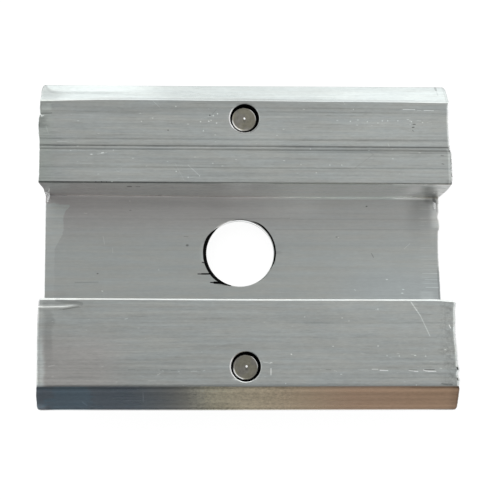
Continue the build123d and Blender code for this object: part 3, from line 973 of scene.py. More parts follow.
def body_tree():
    """Sweeps the section between the saw cuts, and takes out the bore, the pockets and the torn marks."""
    tree, graph, given = new_tree("Clamp Body", (
        ("Section", "Geometry"), ("Left End", "Float"), ("Right End", "Float"), ("Left Skew", "Float"),
        ("Right Skew", "Float"), ("Rows", "Int"), ("Crowding", "Float"), ("Bore Cutter", "Object"),
        ("Press Cutter", "Object"), ("Pocket Cutter", "Object"), ("Tear Cutter", "Object"),
        ("Front Pin", "Vector"), ("Back Pin", "Vector"), ("Front Pocket", "Vector"),
        ("Back Pocket", "Vector"), ("Finish", "Material")), "Body")

    left, right = Wire(graph, given["Left End"]), Wire(graph, given["Right End"])
    line = graph.add("GeometryNodeCurvePrimitiveLine", sockets={"Start": (0, 0, 0), "End": (1, 0, 0)})
    rows = graph.add(
        "GeometryNodeResampleCurve", sockets={"Curve": line.outputs[0], "Count": given["Rows"]})
    share = graph.wire(graph.add("GeometryNodeSplineParameter"), "Factor")
    swing = (share * (2 * math.pi)).maths("SINE", share * (2 * math.pi))
    crowded = share - swing * Wire(graph, given["Crowding"]) / (2 * math.pi)
    at = left + crowded * (right - left)
    spaced = graph.add("GeometryNodeSetPosition", sockets={
        "Geometry": rows.outputs[0],
        "Position": graph.add("ShaderNodeCombineXYZ", sockets={0: at}).outputs[0]})
    section = graph.add("GeometryNodeMeshToCurve", sockets={0: given["Section"]})
    swept = graph.add("GeometryNodeCurveToMesh", sockets={
        "Curve": spaced.outputs[0], "Profile Curve": section.outputs[0], "Fill Caps": True})

    split = graph.add("ShaderNodeSeparateXYZ", sockets={0: graph.add("GeometryNodeInputPosition").outputs[0]})
    x, y = graph.wire(split, 0), graph.wire(split, 1)
    along = (x - left) / (right - left)
    lean = Wire(graph, given["Left Skew"]) * (1 - along) + Wire(graph, given["Right Skew"]) * along
    sawn = graph.add("GeometryNodeSetPosition", sockets={
        "Geometry": swept.outputs[0],
        "Offset": graph.add("ShaderNodeCombineXYZ", sockets={0: y * lean}).outputs[0]})

    def solid(cutter):
        return graph.add("GeometryNodeObjectInfo", sockets={"Object": given[cutter]}).outputs["Geometry"]

    def at_both(cutter, front, back):
        points = graph.add("GeometryNodeMeshLine", {"mode": "END_POINTS"}, {
            "Count": 2, "Start Location": given[front], "Offset": given[back]})
        placed = graph.add("GeometryNodeInstanceOnPoints", sockets={
            "Points": points.outputs[0], "Instance": solid(cutter)})
        return graph.add("GeometryNodeRealizeInstances", sockets={0: placed.outputs[0]}).outputs[0]

    cut = graph.add("GeometryNodeMeshBoolean", {"operation": "DIFFERENCE", "solver": "MANIFOLD"},
                    {"Mesh 1": sawn.outputs[0]})
    for cutter in (solid("Bore Cutter"), at_both("Press Cutter", "Front Pin", "Back Pin"),
                   at_both("Pocket Cutter", "Front Pocket", "Back Pocket"), solid("Tear Cutter")):
        tree.links.new(cutter, cut.inputs["Mesh 2"])
    end_tree(graph, cut.outputs[0], given["Finish"])
    return tree


def line_relief(y, lines):
    """How deep the die's lines are at y. A line is (place, half width, depth), in mm."""
    depth = 0.0
    for middle, half, deep in lines:
        gap = abs(y - middle) / half
        if gap < 1.0:
            depth += deep * (0.5 + 0.5 * math.cos(math.pi * gap))
    return depth


# Lines that the die leaves along the tops, as (place, half width, depth) in mm
BACK_LINES = (
    (16.55, 0.18, 0.006), (16.0, 0.18, 0.006), (13.25, 0.2, -0.006), (12.55, 0.25, 0.014),
    (11.7, 0.22, 0.035), (11.27, 0.2, 0.022), (9.04, 0.2, 0.014),
)
FRONT_LINES = (
    (-9.9, 0.2, 0.006), (-11.57, 0.2, 0.005), (-14.3, 0.2, 0.006), (-15.48, 0.2, 0.009), (-16.45, 0.2, 0.01),
)


def body_section(sizes):
    """The section's points in mm, with the die's lines pressed into the tops of the wings."""
    height, half, channel = sizes.height / MM, sizes.half_width / MM, sizes.channel_half / MM
    foot, floor = sizes.foot_half / MM, sizes.floor / MM
    under, slope, drop = height - sizes.wing / MM, sizes.slope_width / MM, sizes.slope_drop / MM
    back = [
        ((foot, 0.0), 1.0, 0.5), ((foot, under), 0.5, 0.4), ((half, under), 0.2, 0.25),
        ((half, height - drop), 0.2, 0.15), ((half - slope + 0.06, height), 0.2, 0.085),
        ((channel - 0.02, height), 0.2, 0.3), ((channel + 0.08, floor), 0.2, 0.13),
    ]
    front = [
        ((-channel + 0.06, floor), 0.3, 0.3), ((-channel + 0.17, height - 0.14), 0.06, 0.05),
        ((-channel - 0.04, height), 0.06, 0.1),
        ((slope - half, height), 0.5, 0.15), ((-half, height - drop), 0.25, 0.25),
        ((-half, under), 0.2, 0.4), ((-foot, under), 0.5, 0.4), ((-foot, 0.0), 1.0, 0.5),
    ]
    points = []
    for y, z in section_points(back + front):
        if z > height - 0.001:
            z -= line_relief(y, BACK_LINES if y > 0 else FRONT_LINES)
            z -= 0.003 * (0.5 + 0.5 * noise.noise(Vector((y * 3.0, 0.0, 5.0))))
        elif abs(z - floor) < 0.001:
            z -= 0.003 * (0.5 + 0.5 * noise.noise(Vector((y * 2.0, 3.0, 5.0))))
        points.append((y, z))
    return points


def bore_swell(angle, z):
    """The rim is rolled over more at the left and the right than at the front and the back."""
    sideways = 0.5 + 0.5 * math.cos(2 * angle)
    ragged = 0.03 * noise.noise(Vector((math.cos(angle) * 4, math.sin(angle) * 4, 2.0)))
    lift = min(max((z / MM - 2.7) / 0.3, 0.0), 1.6)
    rolled = (1 - math.sqrt(max(0.0, 1 - min(lift, 0.96) ** 2))) + max(0.0, lift - 0.96) * 1.2
    return MM * rolled * (0.12 + 0.26 * sideways + ragged)


def make_cutters(sizes):
    """The solids that are taken out of the body."""
    radius = sizes.bore_radius - 0.04 * MM
    flare = 0.3
    heights = [0.2, 0.9, 1.6, 2.3, 2.7, 2.78, 2.85, 2.91, 2.96, 2.99, 3.1, 3.2]
    profile = [(0.0, -0.001), (radius + (flare + 1.2) * MM, -0.001)]
    profile += [(radius + max(0.0, 1 - z / 2.3) * flare * MM, z * MM) for z in heights] + [(0.0, 3.2 * MM)]
    bore = new_object("bore_cutter", lathe("bore_cutter", profile, 128, BORE_PLACE, swell=bore_swell))
    top, press, pocket = sizes.height, sizes.pin_radius, sizes.pocket_radius
    bottom, inside, above = top - 1.5 * MM, top - 1.4 * MM, top + 0.2 * MM
    press_cutter = new_object("press_cutter", lathe(
        "press_cutter", [(0, 0.0), (press, 0.0), (press, inside), (0, inside)], 64))
    profile = [
        (0, bottom), (pocket, bottom), (pocket, top - 0.06 * MM), (pocket + 0.08 * MM, top),
        (pocket + 0.5 * MM, above), (0, above),
    ]
    pocket_cutter = new_object("pocket_cutter", lathe("pocket_cutter", profile, 64))

    tears = bmesh.new()
    for start, end, half, depth in (
        ((-5.45, -2.71), (-3.4, -2.70), 0.09, 0.14),
        ((-3.85, -3.79), (-1.6, -3.86), 0.13, 0.16),
        ((-3.0, -4.02), (-1.3, -4.16), 0.07, 0.10),
    ):
        reach = (end[0] - start[0]) / 2 * MM
        middle = Vector(((start[0] + end[0]) / 2 * MM, (start[1] + end[1]) / 2 * MM, sizes.floor))
        turn = math.atan2(end[1] - start[1], end[0] - start[0])
        shape = Matrix.Translation(middle) @ Matrix.Rotation(turn, 4, "Z") @ Matrix.Diagonal(
            (reach, half * MM, depth * MM, 1.0))
        bmesh.ops.create_icosphere(tears, subdivisions=3, radius=1.0, matrix=shape)
    mesh = bpy.data.meshes.new("tear_cutter")
    tears.to_mesh(mesh)
    tears.free()
    return bore, press_cutter, pocket_cutter, new_object("tear_cutter", mesh)


def close_ends(mesh, sizes):
    """Gives each sawn end an inner ring and a grid, so that it bends smoothly, and its own material."""
    model = bmesh.new()
    model.from_mesh(mesh)
    bmesh.ops.remove_doubles(model, verts=model.verts, dist=1e-7)
    bmesh.ops.recalc_face_normals(model, faces=model.faces)
    ends = sorted(model.faces, key=lambda face: -face.calc_area())
    ends = [face for face in ends if abs(face.normal.x) > 0.9][:2]
    bmesh.ops.inset_individual(model, faces=ends, thickness=0.12 * MM, use_even_offset=True)
    for face in ends:
        face.material_index = SAWN
    faces = bmesh.ops.triangulate(model, faces=ends, quad_method="BEAUTY", ngon_method="BEAUTY")["faces"]
    edges = list(dict.fromkeys(edge for face in faces for edge in face.edges))
    cells = faces + edges + list(dict.fromkeys(vertex for face in faces for vertex in face.verts))
    spacing = 0.7 * MM
    for axis, low, high in ((1, -sizes.half_width, sizes.half_width), (2, 0.0, sizes.height)):
        direction = Vector((0.0, 0.0, 0.0))
        direction[axis] = 1.0
        for step in range(1, int((high - low) / spacing)):
            cells = bmesh.ops.bisect_plane(
                model, geom=cells, dist=1e-7, plane_co=direction * (low + spacing * step),
                plane_no=direction)["geom"]
    model.to_mesh(mesh)
    model.free()


# How far the saw wandered out, as (y, distance) in mm: at the tops of the wings, and at the channel floor
LEFT_TOP_WANDER = (
    (-20.0, 0.1), (-18.4, 0.09), (-17.2, -0.04), (-15.0, -0.03), (-12.0, 0.0), (-9.5, 0.0), (-7.2, -0.08),
    (7.2, 0.15), (8.0, 0.085), (11.3, 0.06), (12.6, 0.1), (13.2, 0.19), (14.2, 0.24), (15.1, 0.2),
    (15.7, 0.04), (16.4, 0.1), (17.4, 0.08), (18.3, 0.02), (19.0, 0.08), (20.0, -0.04),
)
LEFT_FLOOR_WANDER = ((-7.0, 0.09), (7.0, 0.125))
RIGHT_TOP_WANDER = (
    (-20.0, 0.1), (-17.8, 0.12), (-17.2, -0.03), (-16.6, 0.08), (-16.0, -0.17), (-15.4, 0.12), (-14.9, -0.07),
    (-14.2, -0.1), (-13.0, -0.13), (-11.85, -0.22), (-10.7, -0.26), (-9.5, -0.17), (-8.3, -0.17),
    (-7.4, -0.03), (7.2, 0.06), (8.1, 0.2), (10.1, 0.2), (11.1, 0.18), (11.5, 0.0), (11.9, -0.06),
    (14.0, -0.11), (15.7, -0.09), (17.0, -0.03), (17.6, 0.16), (18.6, 0.18), (19.5, 0.17), (20.0, 0.06),
)
RIGHT_WALL_WANDER = ((3.0, 0.08), (4.6, 0.16), (6.9, 0.21), (9.2, 0.18), (11.6, 0.05))
RIGHT_FLOOR_WANDER = (
    (-6.5, -0.14), (-2.5, -0.19), (-0.5, -0.25), (1.5, -0.21), (2.9, -0.13), (3.2, 0.03), (3.8, 0.06),
    (4.3, 0.0), (4.8, -0.13), (5.4, 0.05), (7.0, 0.0),
)

# How far the border between top and slope wanders from a straight line, as (x, distance) in mm
BACK_BORDER = (
    (-24.6, -0.15), (-22.6, -0.1), (-21.1, -0.05), (-18.2, 0.05), (-16.0, 0.085), (-8.0, 0.09), (-3.5, 0.055),
    (-0.5, 0.1), (5.0, 0.07), (9.0, 0.03), (13.5, 0.075), (20.0, 0.05), (24.0, 0.0),
)
FRONT_BORDER = (
    (-24.0, 0.0), (-22.0, 0.05), (-14.0, 0.045), (-11.0, 0.02), (-5.0, 0.0), (-1.0, -0.05), (8.0, -0.05),
    (12.0, -0.07), (25.0, -0.05),
)


def smooth(value, start, end):
    """A smooth step of an array, from 0 to 1 as it goes from start to end."""
    share = np.clip((value - start) / (end - start), 0.0, 1.0)
    return share * share * (3.0 - 2.0 * share)


def read_table(places, table):
    """The amounts of a table of (place, amount) at other places, straight in between."""
    return np.interp(places, [place for place, amount in table], [amount for place, amount in table])


def round_corner(points, from_end, from_side, end_sign, side_sign, radius, strength=1.0):
    """Rounds a corner that is seen from above, where both distances are less than the radius."""
    a, b = np.maximum(from_end, 0.0), np.maximum(from_side, 0.0)
    reach = np.hypot(radius - a, radius - b)
    inside = (a < radius) & (b < radius) & (reach > radius)
    share = np.where(inside, radius / np.maximum(reach, 1e-9), 1.0)
    points[:, 0] -= end_sign * (radius - a) * (1.0 - share) * strength
    points[:, 1] -= side_sign * (radius - b) * (1.0 - share) * strength


def wear_body(mesh, sizes, outline):
    """Moves the vertices as the die, the saw and handling did: wandering cuts, soft rims and a dent."""
    count = len(mesh.vertices)
    points = np.empty(count * 3)
    mesh.vertices.foreach_get("co", points)
    points = points.reshape(-1, 3) / MM
    top, half = sizes.height / MM, sizes.half_width / MM
    x, y, z = points[:, 0], points[:, 1], points[:, 2]
    from_left = x - sizes.left_end / MM - sizes.left_skew * y
    from_right = sizes.right_end / MM + sizes.right_skew * y - x
    near = np.flatnonzero(np.minimum(from_left, from_right) < 6.0)

    # Outward direction of the section at each vertex near an end, and whether it is on the skin
    section = np.array(outline)
    run = np.roll(section, -1, axis=0) - np.roll(section, 1, axis=0)
    run /= np.hypot(run[:, 0], run[:, 1])[:, None]
    outward = np.stack((run[:, 1], -run[:, 0]), axis=1)
    tree = kdtree.KDTree(len(section))
    for index, (across, up) in enumerate(section):
        tree.insert((across, up, 0.0), index)
    tree.balance()
    facing, skin, rim = np.zeros((count, 2)), np.zeros(count, bool), np.zeros(count)
    for index in near:
        _, found, gap = tree.find((y[index], z[index], 0.0))
        facing[index] = outward[found]
        skin[index] = gap < 0.03
        rim[index] = gap < 0.2

    # The saw's wandering
    high = np.where(np.abs(y) > 7.5, 1.0, smooth(z, 4.0, 9.0))
    foot = (np.abs(y) > 7.5) & (z < top - sizes.wing / MM - 0.2)
    left_out = read_table(y, LEFT_TOP_WANDER) * high + read_table(y, LEFT_FLOOR_WANDER) * (1.0 - high)
    right_out = read_table(y, RIGHT_TOP_WANDER) * high + read_table(y, RIGHT_FLOOR_WANDER) * (1.0 - high)
    left_out[foot] = right_out[foot] = 0.0
    ragged = np.zeros(count)
    ragged[near] = [
        noise.noise(Vector((y[i] * 3.0, z[i] * 3.0, 1.0 if x[i] > 0 else 7.0))) * 0.6
        + noise.noise(Vector((y[i] * 9.0, z[i] * 9.0, 3.0))) * 0.4 for i in near]
    ragged *= rim
    by_left, by_right = 1.0 - smooth(from_left, 0.0, 1.4), 1.0 - smooth(from_right, 0.0, 1.4)
    x -= left_out * by_left + ragged * 0.05 * (1.0 - smooth(from_left, 0.0, 0.3))
    x += right_out * by_right + ragged * 0.07 * (1.0 - smooth(from_right, 0.0, 0.3))

    # The end of the back wall is hollow at the left and full at the right
    wall = np.where((y > 6.5) & (y < 8.2), 1.0, 0.0)
    x += 0.19 * wall * np.exp(-((z - 7.6) / 2.2) ** 2) * by_left
    x += wall * read_table(z, RIGHT_WALL_WANDER) * smooth(z, 2.6, 3.2) * by_right

    # The die did not run quite true: outer edges, the mouth of the channel and the back corner lean a little
    points[:, 1] += 0.13 * smooth(x, -24.0, 22.0) * smooth(y, 17.6, 19.6)
    points[:, 1] -= (0.03 * smooth(x, -22.0, -16.0) + 0.045 * smooth(x, -20.0, 0.0)) * smooth(-y, 17.6, 19.6)
    points[:, 1] += read_table(x, BACK_BORDER) * np.exp(-((y - 17.4) / 0.3) ** 2)
    points[:, 1] += read_table(x, FRONT_BORDER) * np.exp(-((y + 17.35) / 0.3) ** 2)
    lip = np.where((y < -6.8) & (y > -7.8), smooth(z, top - 2.0, top - 0.2), 0.0)
    points[:, 1] += lip * (0.09 * (1.0 - smooth(x, -24.0, 6.0)) - 0.16 * smooth(x, 22.8, 25.4))
    corner = np.where(y > 5.5, smooth(y, 5.5, 6.8) * (1.0 - smooth(z, 3.6, 8.5)) * smooth(z, 2.0, 2.9), 0.0)
    points[:, 1] += 0.12 * np.where(y < 7.8, corner, 0.0) * (1.0 - smooth(x, -24.0, 8.0))

    # Rims of the cuts rolled over a little, more on the front wing
    front_top = (y < -7.0) & (y > -17.6) & (z > top - 0.6)
    for gap, soft in ((from_left, 0.45), (from_right, 0.3)):
        reach = np.where(front_top, soft, 0.14)
        deep = np.where(front_top, 0.10, 0.05) * (1.0 + 0.5 * ragged)
        press = np.where(skin, deep * np.clip(1.0 - gap / reach, 0.0, 1.0) ** 2, 0.0)
        points[:, 1] -= facing[:, 0] * press
        points[:, 2] -= facing[:, 1] * press

    # Dent along the mouth of the channel at the left end of the front wing
    line_y = -7.97 + 0.01 * (x + 24.6) + 0.35 * smooth(x, -21.5, -19.2)
    depth = 0.12 * (1.0 - smooth(x, -20.9, -18.9))
    step = smooth(y, line_y - 0.1, line_y + 0.1)
    rise = 0.85 * smooth(y, line_y + 0.1, -7.2)
    dented = (y < -7.0) & (y > -8.4) & (z > top - 0.5) & (from_left < 6.0)
    points[:, 2] -= np.where(dented, depth * (step - rise), 0.0)

    # Corners seen from above
    round_corner(points, from_left, y + half, -1.0, -1.0, 0.32)
    round_corner(points, from_right, y + half, 1.0, -1.0, 0.25)
    round_corner(points, from_left, half - y, -1.0, 1.0, 0.4)
    round_corner(points, from_right, half - y, 1.0, 1.0, 0.25)
    mouth = smooth(z, top - 1.6, top - 0.4) * (y < -6.7)
    brink = -6.97 + 0.09 * (1.0 - smooth(x, -24.0, 6.0)) - 0.16 * smooth(x, 22.8, 25.4)
    side = np.where(y < -6.7, np.maximum(brink - y, 0.0), 9.0)
    round_corner(points, from_left, side, -1.0, 1.0, 0.6, mouth)
    round_corner(points, from_right, side, 1.0, 1.0, 0.35, mouth)
    mesh.vertices.foreach_set("co", (points * MM).ravel())
    for name, gap in (("left_gap", from_left), ("right_gap", from_right)):
        mesh.attributes.new(name, "FLOAT", "POINT").data.foreach_set("value", gap.astype(np.float32))
    mesh.update()


class MakeClampBody(bpy.types.Operator):
    """Makes the extruded body with its bore, pin pockets, worn edges and dents"""

    bl_idname = "clamp.make_body"
    bl_label = "Clamp body"

    def execute(self, context):
        sizes = context.scene.clamp_sizes
        outline = body_section(sizes)
        mesh = bpy.data.meshes.new("section")
        count = len(outline)
        mesh.from_pydata([(-y * MM, -z * MM, 0.0) for y, z in outline],
                         [(index, (index + 1) % count) for index in range(count)], [])
        body = new_object("extruded_clamp_body", mesh)
        bore, press, pocket, tear = make_cutters(sizes)
        materials = [back_wing_finish(), sawn_finish(), punched_finish(), front_wing_finish(),
                     channel_finish(), front_slope_finish()]
        (front, back), (front_pocket, back_pocket) = PIN_PLACES.values(), POCKET_PLACES.values()
        mesh = run_tree(body, body_tree(), {
            "Left End": sizes.left_end, "Right End": sizes.right_end, "Left Skew": sizes.left_skew,
            "Right Skew": sizes.right_skew, "Rows": sizes.rows, "Crowding": sizes.crowding,
            "Bore Cutter": bore, "Press Cutter": press, "Pocket Cutter": pocket, "Tear Cutter": tear,
            "Front Pin": (*front, 0.0), "Back Pin": (*back, 0.0),
            "Front Pocket": (*front_pocket, 0.0), "Back Pocket": (*back_pocket, 0.0),
            "Finish": materials[BACK_WING],
        })
        for cutter in (bore, press, pocket, tear):
            bpy.data.objects.remove(cutter)
        mesh.materials.clear()
        for material in materials:
            mesh.materials.append(material)
        close_ends(mesh, sizes)
        wear_body(mesh, sizes, outline)
        paint_faces(mesh, sizes)
        mesh.shade_smooth()
        mesh.set_sharp_from_angle(angle=SHARP_ANGLE)
        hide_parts(BODY_NODE)
        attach(body, "root")
        return {"FINISHED"}


def paint_faces(mesh, sizes):
    """Gives each face the finish of its place: the wings, the slope, the channel, the bore or a pocket."""
    count = len(mesh.polygons)
    centre, normal = np.empty(count * 3), np.empty(count * 3)
    mesh.polygons.foreach_get("center", centre)
    mesh.polygons.foreach_get("normal", normal)
    centre, normal = centre.reshape(-1, 3) / MM, normal.reshape(-1, 3)
    index = np.empty(count, np.int32)
    mesh.polygons.foreach_get("material_index", index)
    along, across, up = centre.T
    height = sizes.height / MM
    on_wings = (up > height - 0.3) | ((abs(across) > 17.2) & (up > 9.0))
    index[(index == BACK_WING) & on_wings & (across < -17.42)] = FRONT_SLOPE
    index[(index == BACK_WING) & on_wings & (across < 0)] = FRONT_WING
    index[(index == BACK_WING) & ~on_wings] = CHANNEL
    bore = (np.hypot(along, across) < sizes.bore_radius / MM + 0.01) & (up < 2.75)
    index[bore & (abs(normal[:, 2]) < 0.5)] = PUNCHED
    for place in PIN_PLACES.values():
        reach = np.hypot(along - place[0] / MM, across - place[1] / MM)
        index[(reach < sizes.pocket_radius / MM + 0.12) & (up < height - 0.12)] = PUNCHED
    mesh.polygons.foreach_set("material_index", index)


# ---------------------------------------------------------------- burrs of the saw cuts


def burr_tree():
    """Sets a small flake of metal, turned and scaled at random, on each point of the saw's edge."""
    tree, graph, given = new_tree("Sawn Burrs", (
        ("Points", "Geometry"), ("Least Size", "Vector"), ("Greatest Size", "Vector"), ("Seed", "Int"),
        ("Finish", "Material")), "Burrs")
    flake = graph.add("GeometryNodeMeshIcoSphere", sockets={"Radius": 1.0, "Subdivisions": 2})
    size = graph.add("FunctionNodeRandomValue", {"data_type": "FLOAT_VECTOR"}, {
        0: given["Least Size"], 1: given["Greatest Size"], "Seed": given["Seed"]})
    turn = graph.add("FunctionNodeRandomValue", {"data_type": "FLOAT_VECTOR"}, {
        0: (-1.0, -0.5, -0.5), 1: (-0.1, 0.5, 0.5), "Seed": given["Seed"]})
    grow = graph.add("GeometryNodeInputNamedAttribute", {"data_type": "FLOAT"}, {"Name": "grow"})
    placed = graph.add("GeometryNodeInstanceOnPoints", sockets={
        "Points": given["Points"], "Instance": flake.outputs[0], "Rotation": turn.outputs[0],
        "Scale": graph.vector("SCALE", size.outputs[0], scale=grow.outputs[0])})
    end_tree(graph, placed.outputs[0], given["Finish"])
    return tree


def burr_places(sizes):
    """Places in mm and relative sizes of the burrs on the right saw cut and at the back wall's ends."""
    top = sizes.height / MM
    places = []

    for low, high, gap, out in ((7.5, 11.6, 0.11, 0.0), (11.6, 17.3, 0.09, 0.06), (-17.2, -7.3, 0.075, 0.05)):
        for index in range(int((high - low) / gap)):
            y = low + gap * index
            jitter = noise.noise(Vector((y * 7.0, 2.0, 4.0)))
            x = sizes.right_end / MM + sizes.right_skew * y + float(read_table(y, RIGHT_TOP_WANDER))
            places.append((x + out + 0.08 * jitter, y + 0.05 * noise.noise(Vector((y * 11.0, 5.0, 1.0))),
                           top - 0.05 + 0.05 * noise.noise(Vector((y * 5.0, 1.0, 9.0))), 1.0))
    for gap, grow, spots in (
        (0.09, 0.6, ((-23.68, 7.1, 8.6), (-23.95, 7.1, 6.4), (-24.12, 7.1, 4.2))),
        (0.045, 1.5, ((-24.3, 7.1, 6.0), (-24.1, 7.1, 5.1), (-24.16, 7.1, 3.6), (-24.3, 6.9, 3.15),
                      (-24.4, 6.45, 3.1))),
        (0.08, 0.8, ((-24.36, 7.0, 5.4), (-24.36, 7.0, 3.8), (-24.44, 6.5, 3.1))),
        (0.05, 0.8, ((-24.66, 7.5, 11.62), (-24.74, 7.42, 11.62))),
        (0.045, 1.7, ((24.9, 6.5, 3.14), (24.86, 6.1, 3.14), (24.92, 5.8, 3.12))),
    ):
        for start, end in zip(spots, spots[1:]):
            start, end = Vector(start), Vector(end)
            steps = max(1, round((end - start).length / gap))
            for step in range(steps):
                spot = start.lerp(end, step / steps)
                places.append((*(spot + noise.noise_vector(spot * 6.0) * 0.02), grow))
    return places


class MakeBurrs(bpy.types.Operator):
    """Makes the burrs that the saw left along the edges of its cuts"""

    bl_idname = "clamp.make_burrs"
    bl_label = "Sawn burrs"

    def execute(self, context):
        places = burr_places(context.scene.clamp_sizes)
        mesh = bpy.data.meshes.new("burr_points")
        mesh.from_pydata([Vector(place[:3]) * MM for place in places], [], [])
        grow = mesh.attributes.new("grow", "FLOAT", "POINT")
        grow.data.foreach_set("value", [place[3] for place in places])
        burrs = new_object("sawn_burrs", mesh)
        mesh = run_tree(burrs, burr_tree(), {
            "Least Size": (0.03 * MM, 0.04 * MM, 0.02 * MM),
            "Greatest Size": (0.1 * MM, 0.11 * MM, 0.05 * MM), "Seed": 7, "Finish": burr_finish(),
        })
        mesh.shade_smooth()
        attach(burrs, "root")
        return {"FINISHED"}


# ---------------------------------------------------------------- grounding pins


# The rounded edge of a pin's back, as distances in mm inward from the side and below the back
PIN_EDGE = ((0.0, 0.6), (0.0, 0.09), (0.015, 0.05), (0.05, 0.02), (0.08, 0.012), (0.14, 0.008))


def pin_relief(spot, radius, nib):
    """Height in mm on the back of a pin: a rim pushed up at the lower left, and a wedge shaped nib."""
    reach = spot.length
    side = max(0.0, (-0.78 * spot.x - 0.62 * spot.y) / max(reach, 0.01))
    share = min(max((reach - (radius - 0.24)) / 0.16, 0.0), 1.0)
    height = 0.075 * share * min(1.0, side * 1.6)
    across, along = (spot.x - nib[0]) / 0.13, (spot.y - nib[1]) / 0.13
    gap = math.hypot(across, along)
    if gap < 1.25:
        height += (0.075 - 0.055 * along) * min(1.0, (1.25 - gap) / 0.25)
    return height


class MakeGroundingPins(bpy.types.Operator):
    """Makes the two turned pins, each with a conical point below and a parting nib on its back"""

    bl_idname = "clamp.make_pins"
    bl_label = "Grounding pins"

    def execute(self, context):
        sizes = context.scene.clamp_sizes
        radius = sizes.pin_radius
        for name, nib, shade in zip(PIN_NODES, ((0.13, 0.08), (0.07, 0.10)), (0.93, 1.0)):
            low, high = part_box(name)
            back = high.z - 0.08 * MM
            place = PIN_PLACES[name]
            profile = [(0.0, low.z), (0.1 * MM, low.z + 0.01 * MM)]
            steps = 14
            for step in range(1, steps + 1):
                share = step / steps
                profile.append((0.1 * MM + (radius - 0.1 * MM) * share, low.z + (radius - 0.1 * MM) * share))
            profile += [(radius - inward * MM, back - below * MM) for inward, below in PIN_EDGE]
            rings = 40
            for ring in range(rings):
                wave = 0.004 * MM * math.sin(ring * 1.7) * math.sin(ring * 0.6)
                profile.append(((radius - 0.2 * MM) * (1 - ring / rings), back - 0.006 * MM + wave))
            profile.append((0.0, back - 0.006 * MM))
            mesh = lathe("turned_" + name, profile, 96, place)
            for vertex in mesh.vertices:
                spot = (Vector(vertex.co[:2]) - Vector(place)) / MM
                if vertex.co.z > back - 0.1 * MM:
                    vertex.co.z += MM * pin_relief(spot, radius / MM, nib)
            pin = new_object("turned_" + name, mesh)
            pin.data.materials.append(turned_steel(place, nib, shade))
            pin.data.shade_smooth()
            pin.data.set_sharp_from_angle(angle=SHARP_ANGLE)
            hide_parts(name)
            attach(pin, "root")
        return {"FINISHED"}


# ---------------------------------------------------------------- stage


def stage_material(name):
    material = bpy.data.materials.new(name)
    material.use_nodes = True
    return material, Graph(material.node_tree)


def glow_output(material, graph, colour, strength):
    """Ends a studio material that glows, but that no lamp sampling counts as a lamp."""
    material.cycles.emission_sampling = "NONE"
    glow = graph.add("ShaderNodeEmission", sockets={"Color": colour, "Strength": strength})
    graph.add("ShaderNodeOutputMaterial", sockets={"Surface": glow.outputs[0]})


def stage_mesh(name, verts, faces, material):
    mesh = bpy.data.meshes.new(name)
    mesh.from_pydata(verts, [], faces)
    mesh.materials.append(material)
    return new_object(name, mesh)


def level_corners(left, right, near, far, level):
    """The four corners of a level sheet."""
    return [(left, near, level), (right, near, level), (right, far, level), (left, far, level)]


def seen_rays(graph):
    """One for camera, glossy and transmission rays."""
    rays = graph.add("ShaderNodeLightPath").outputs
    seen = Wire(graph, rays["Is Camera Ray"])
    return seen.at_least(rays["Is Glossy Ray"]).at_least(rays["Is Transmission Ray"])


def make_floor(stage):
    material, graph = stage_material("pale_floor")
    diffuse = graph.add("ShaderNodeBsdfDiffuse", sockets={"Color": (0.8, 0.8, 0.8)})
    shaded = graph.add("ShaderNodeBsdfDiffuse", sockets={"Color": (0.14, 0.14, 0.14)})
    glow = graph.add("ShaderNodeEmission", sockets={"Color": tuple(stage.floor_tint), "Strength": 0.92})
    bright = graph.add("ShaderNodeAddShader", sockets={0: shaded.outputs[0], 1: glow.outputs[0]})
    both = graph.add("ShaderNodeMixShader", sockets={
        0: seen_rays(graph), 1: diffuse.outputs[0], 2: bright.outputs[0]})
    graph.add("ShaderNodeOutputMaterial", sockets={"Surface": both.outputs[0]})
    corners = level_corners(-3.0, 3.0, -3.0, 3.0, -0.00002)
    stage_mesh("floor", corners, [(0, 1, 2, 3)], material)


def for_reflections(obj):
    """Keeps a studio card out of the picture and of the diffuse light, so that only reflections see it."""
    obj.visible_camera = False
    obj.visible_diffuse = False
    obj.visible_shadow = False


def make_arch(stage):
    """The studio arch over the clamp, which only reflections see: dark low in front, bright at the back."""
    material, graph = stage_material("studio_arch")
    place = graph.add("ShaderNodeTexCoord").outputs["Object"]
    split = graph.add("ShaderNodeSeparateXYZ", sockets={0: place})
    x, y, z = (graph.wire(split, axis) for axis in range(3))
    turn = z.maths("ARCTAN2", z, -y) / math.pi
    dome = graph.add("ShaderNodeValToRGB", {"stops": (
        (0.0, (0.08, 0.09, 0.10)), (0.14, (0.12, 0.125, 0.13)), (0.30, (0.30, 0.305, 0.31)),
        (0.47, (0.46, 0.465, 0.465)), (0.60, (0.48, 0.485, 0.485)), (0.72, (0.80, 0.81, 0.81)),
        (0.86, (1.0, 1.0, 1.0)), (1.0, (1.0, 1.0, 1.0)))}, {0: turn})
    gain = turn.ramp(0.80, 0.88) * 0.9 + 1.0 + x / stage.arch_radius * 0.5
    glow_output(material, graph, dome.outputs[0], gain)

    radius, steps = stage.arch_radius, 60
    verts, faces = [], []
    for index in range(steps + 1):
        angle = math.pi * index / steps
        y, z = -radius * math.cos(angle), max(radius * math.sin(angle), 0.0)
        verts += [(-radius, y, z), (radius, y, z)]
    for index in range(steps):
        low = 2 * index
        faces.append((low, low + 1, low + 3, low + 2))
    for_reflections(stage_mesh("studio_arch", verts, faces, material))


def make_card(name, corners, stops, low, high, strength):
    """A flat studio card whose colour changes along X from low to high."""
    material, graph = stage_material(name)
    place = graph.add("ShaderNodeTexCoord").outputs["Object"]
    x = graph.wire(graph.add("ShaderNodeSeparateXYZ", sockets={0: place}), 0)
    ramp = graph.add("ShaderNodeValToRGB", {"stops": stops}, {0: (x - low) / (high - low)})
    glow_output(material, graph, ramp.outputs[0], strength)
    for_reflections(stage_mesh(name, corners, [(0, 1, 2, 3)], material))


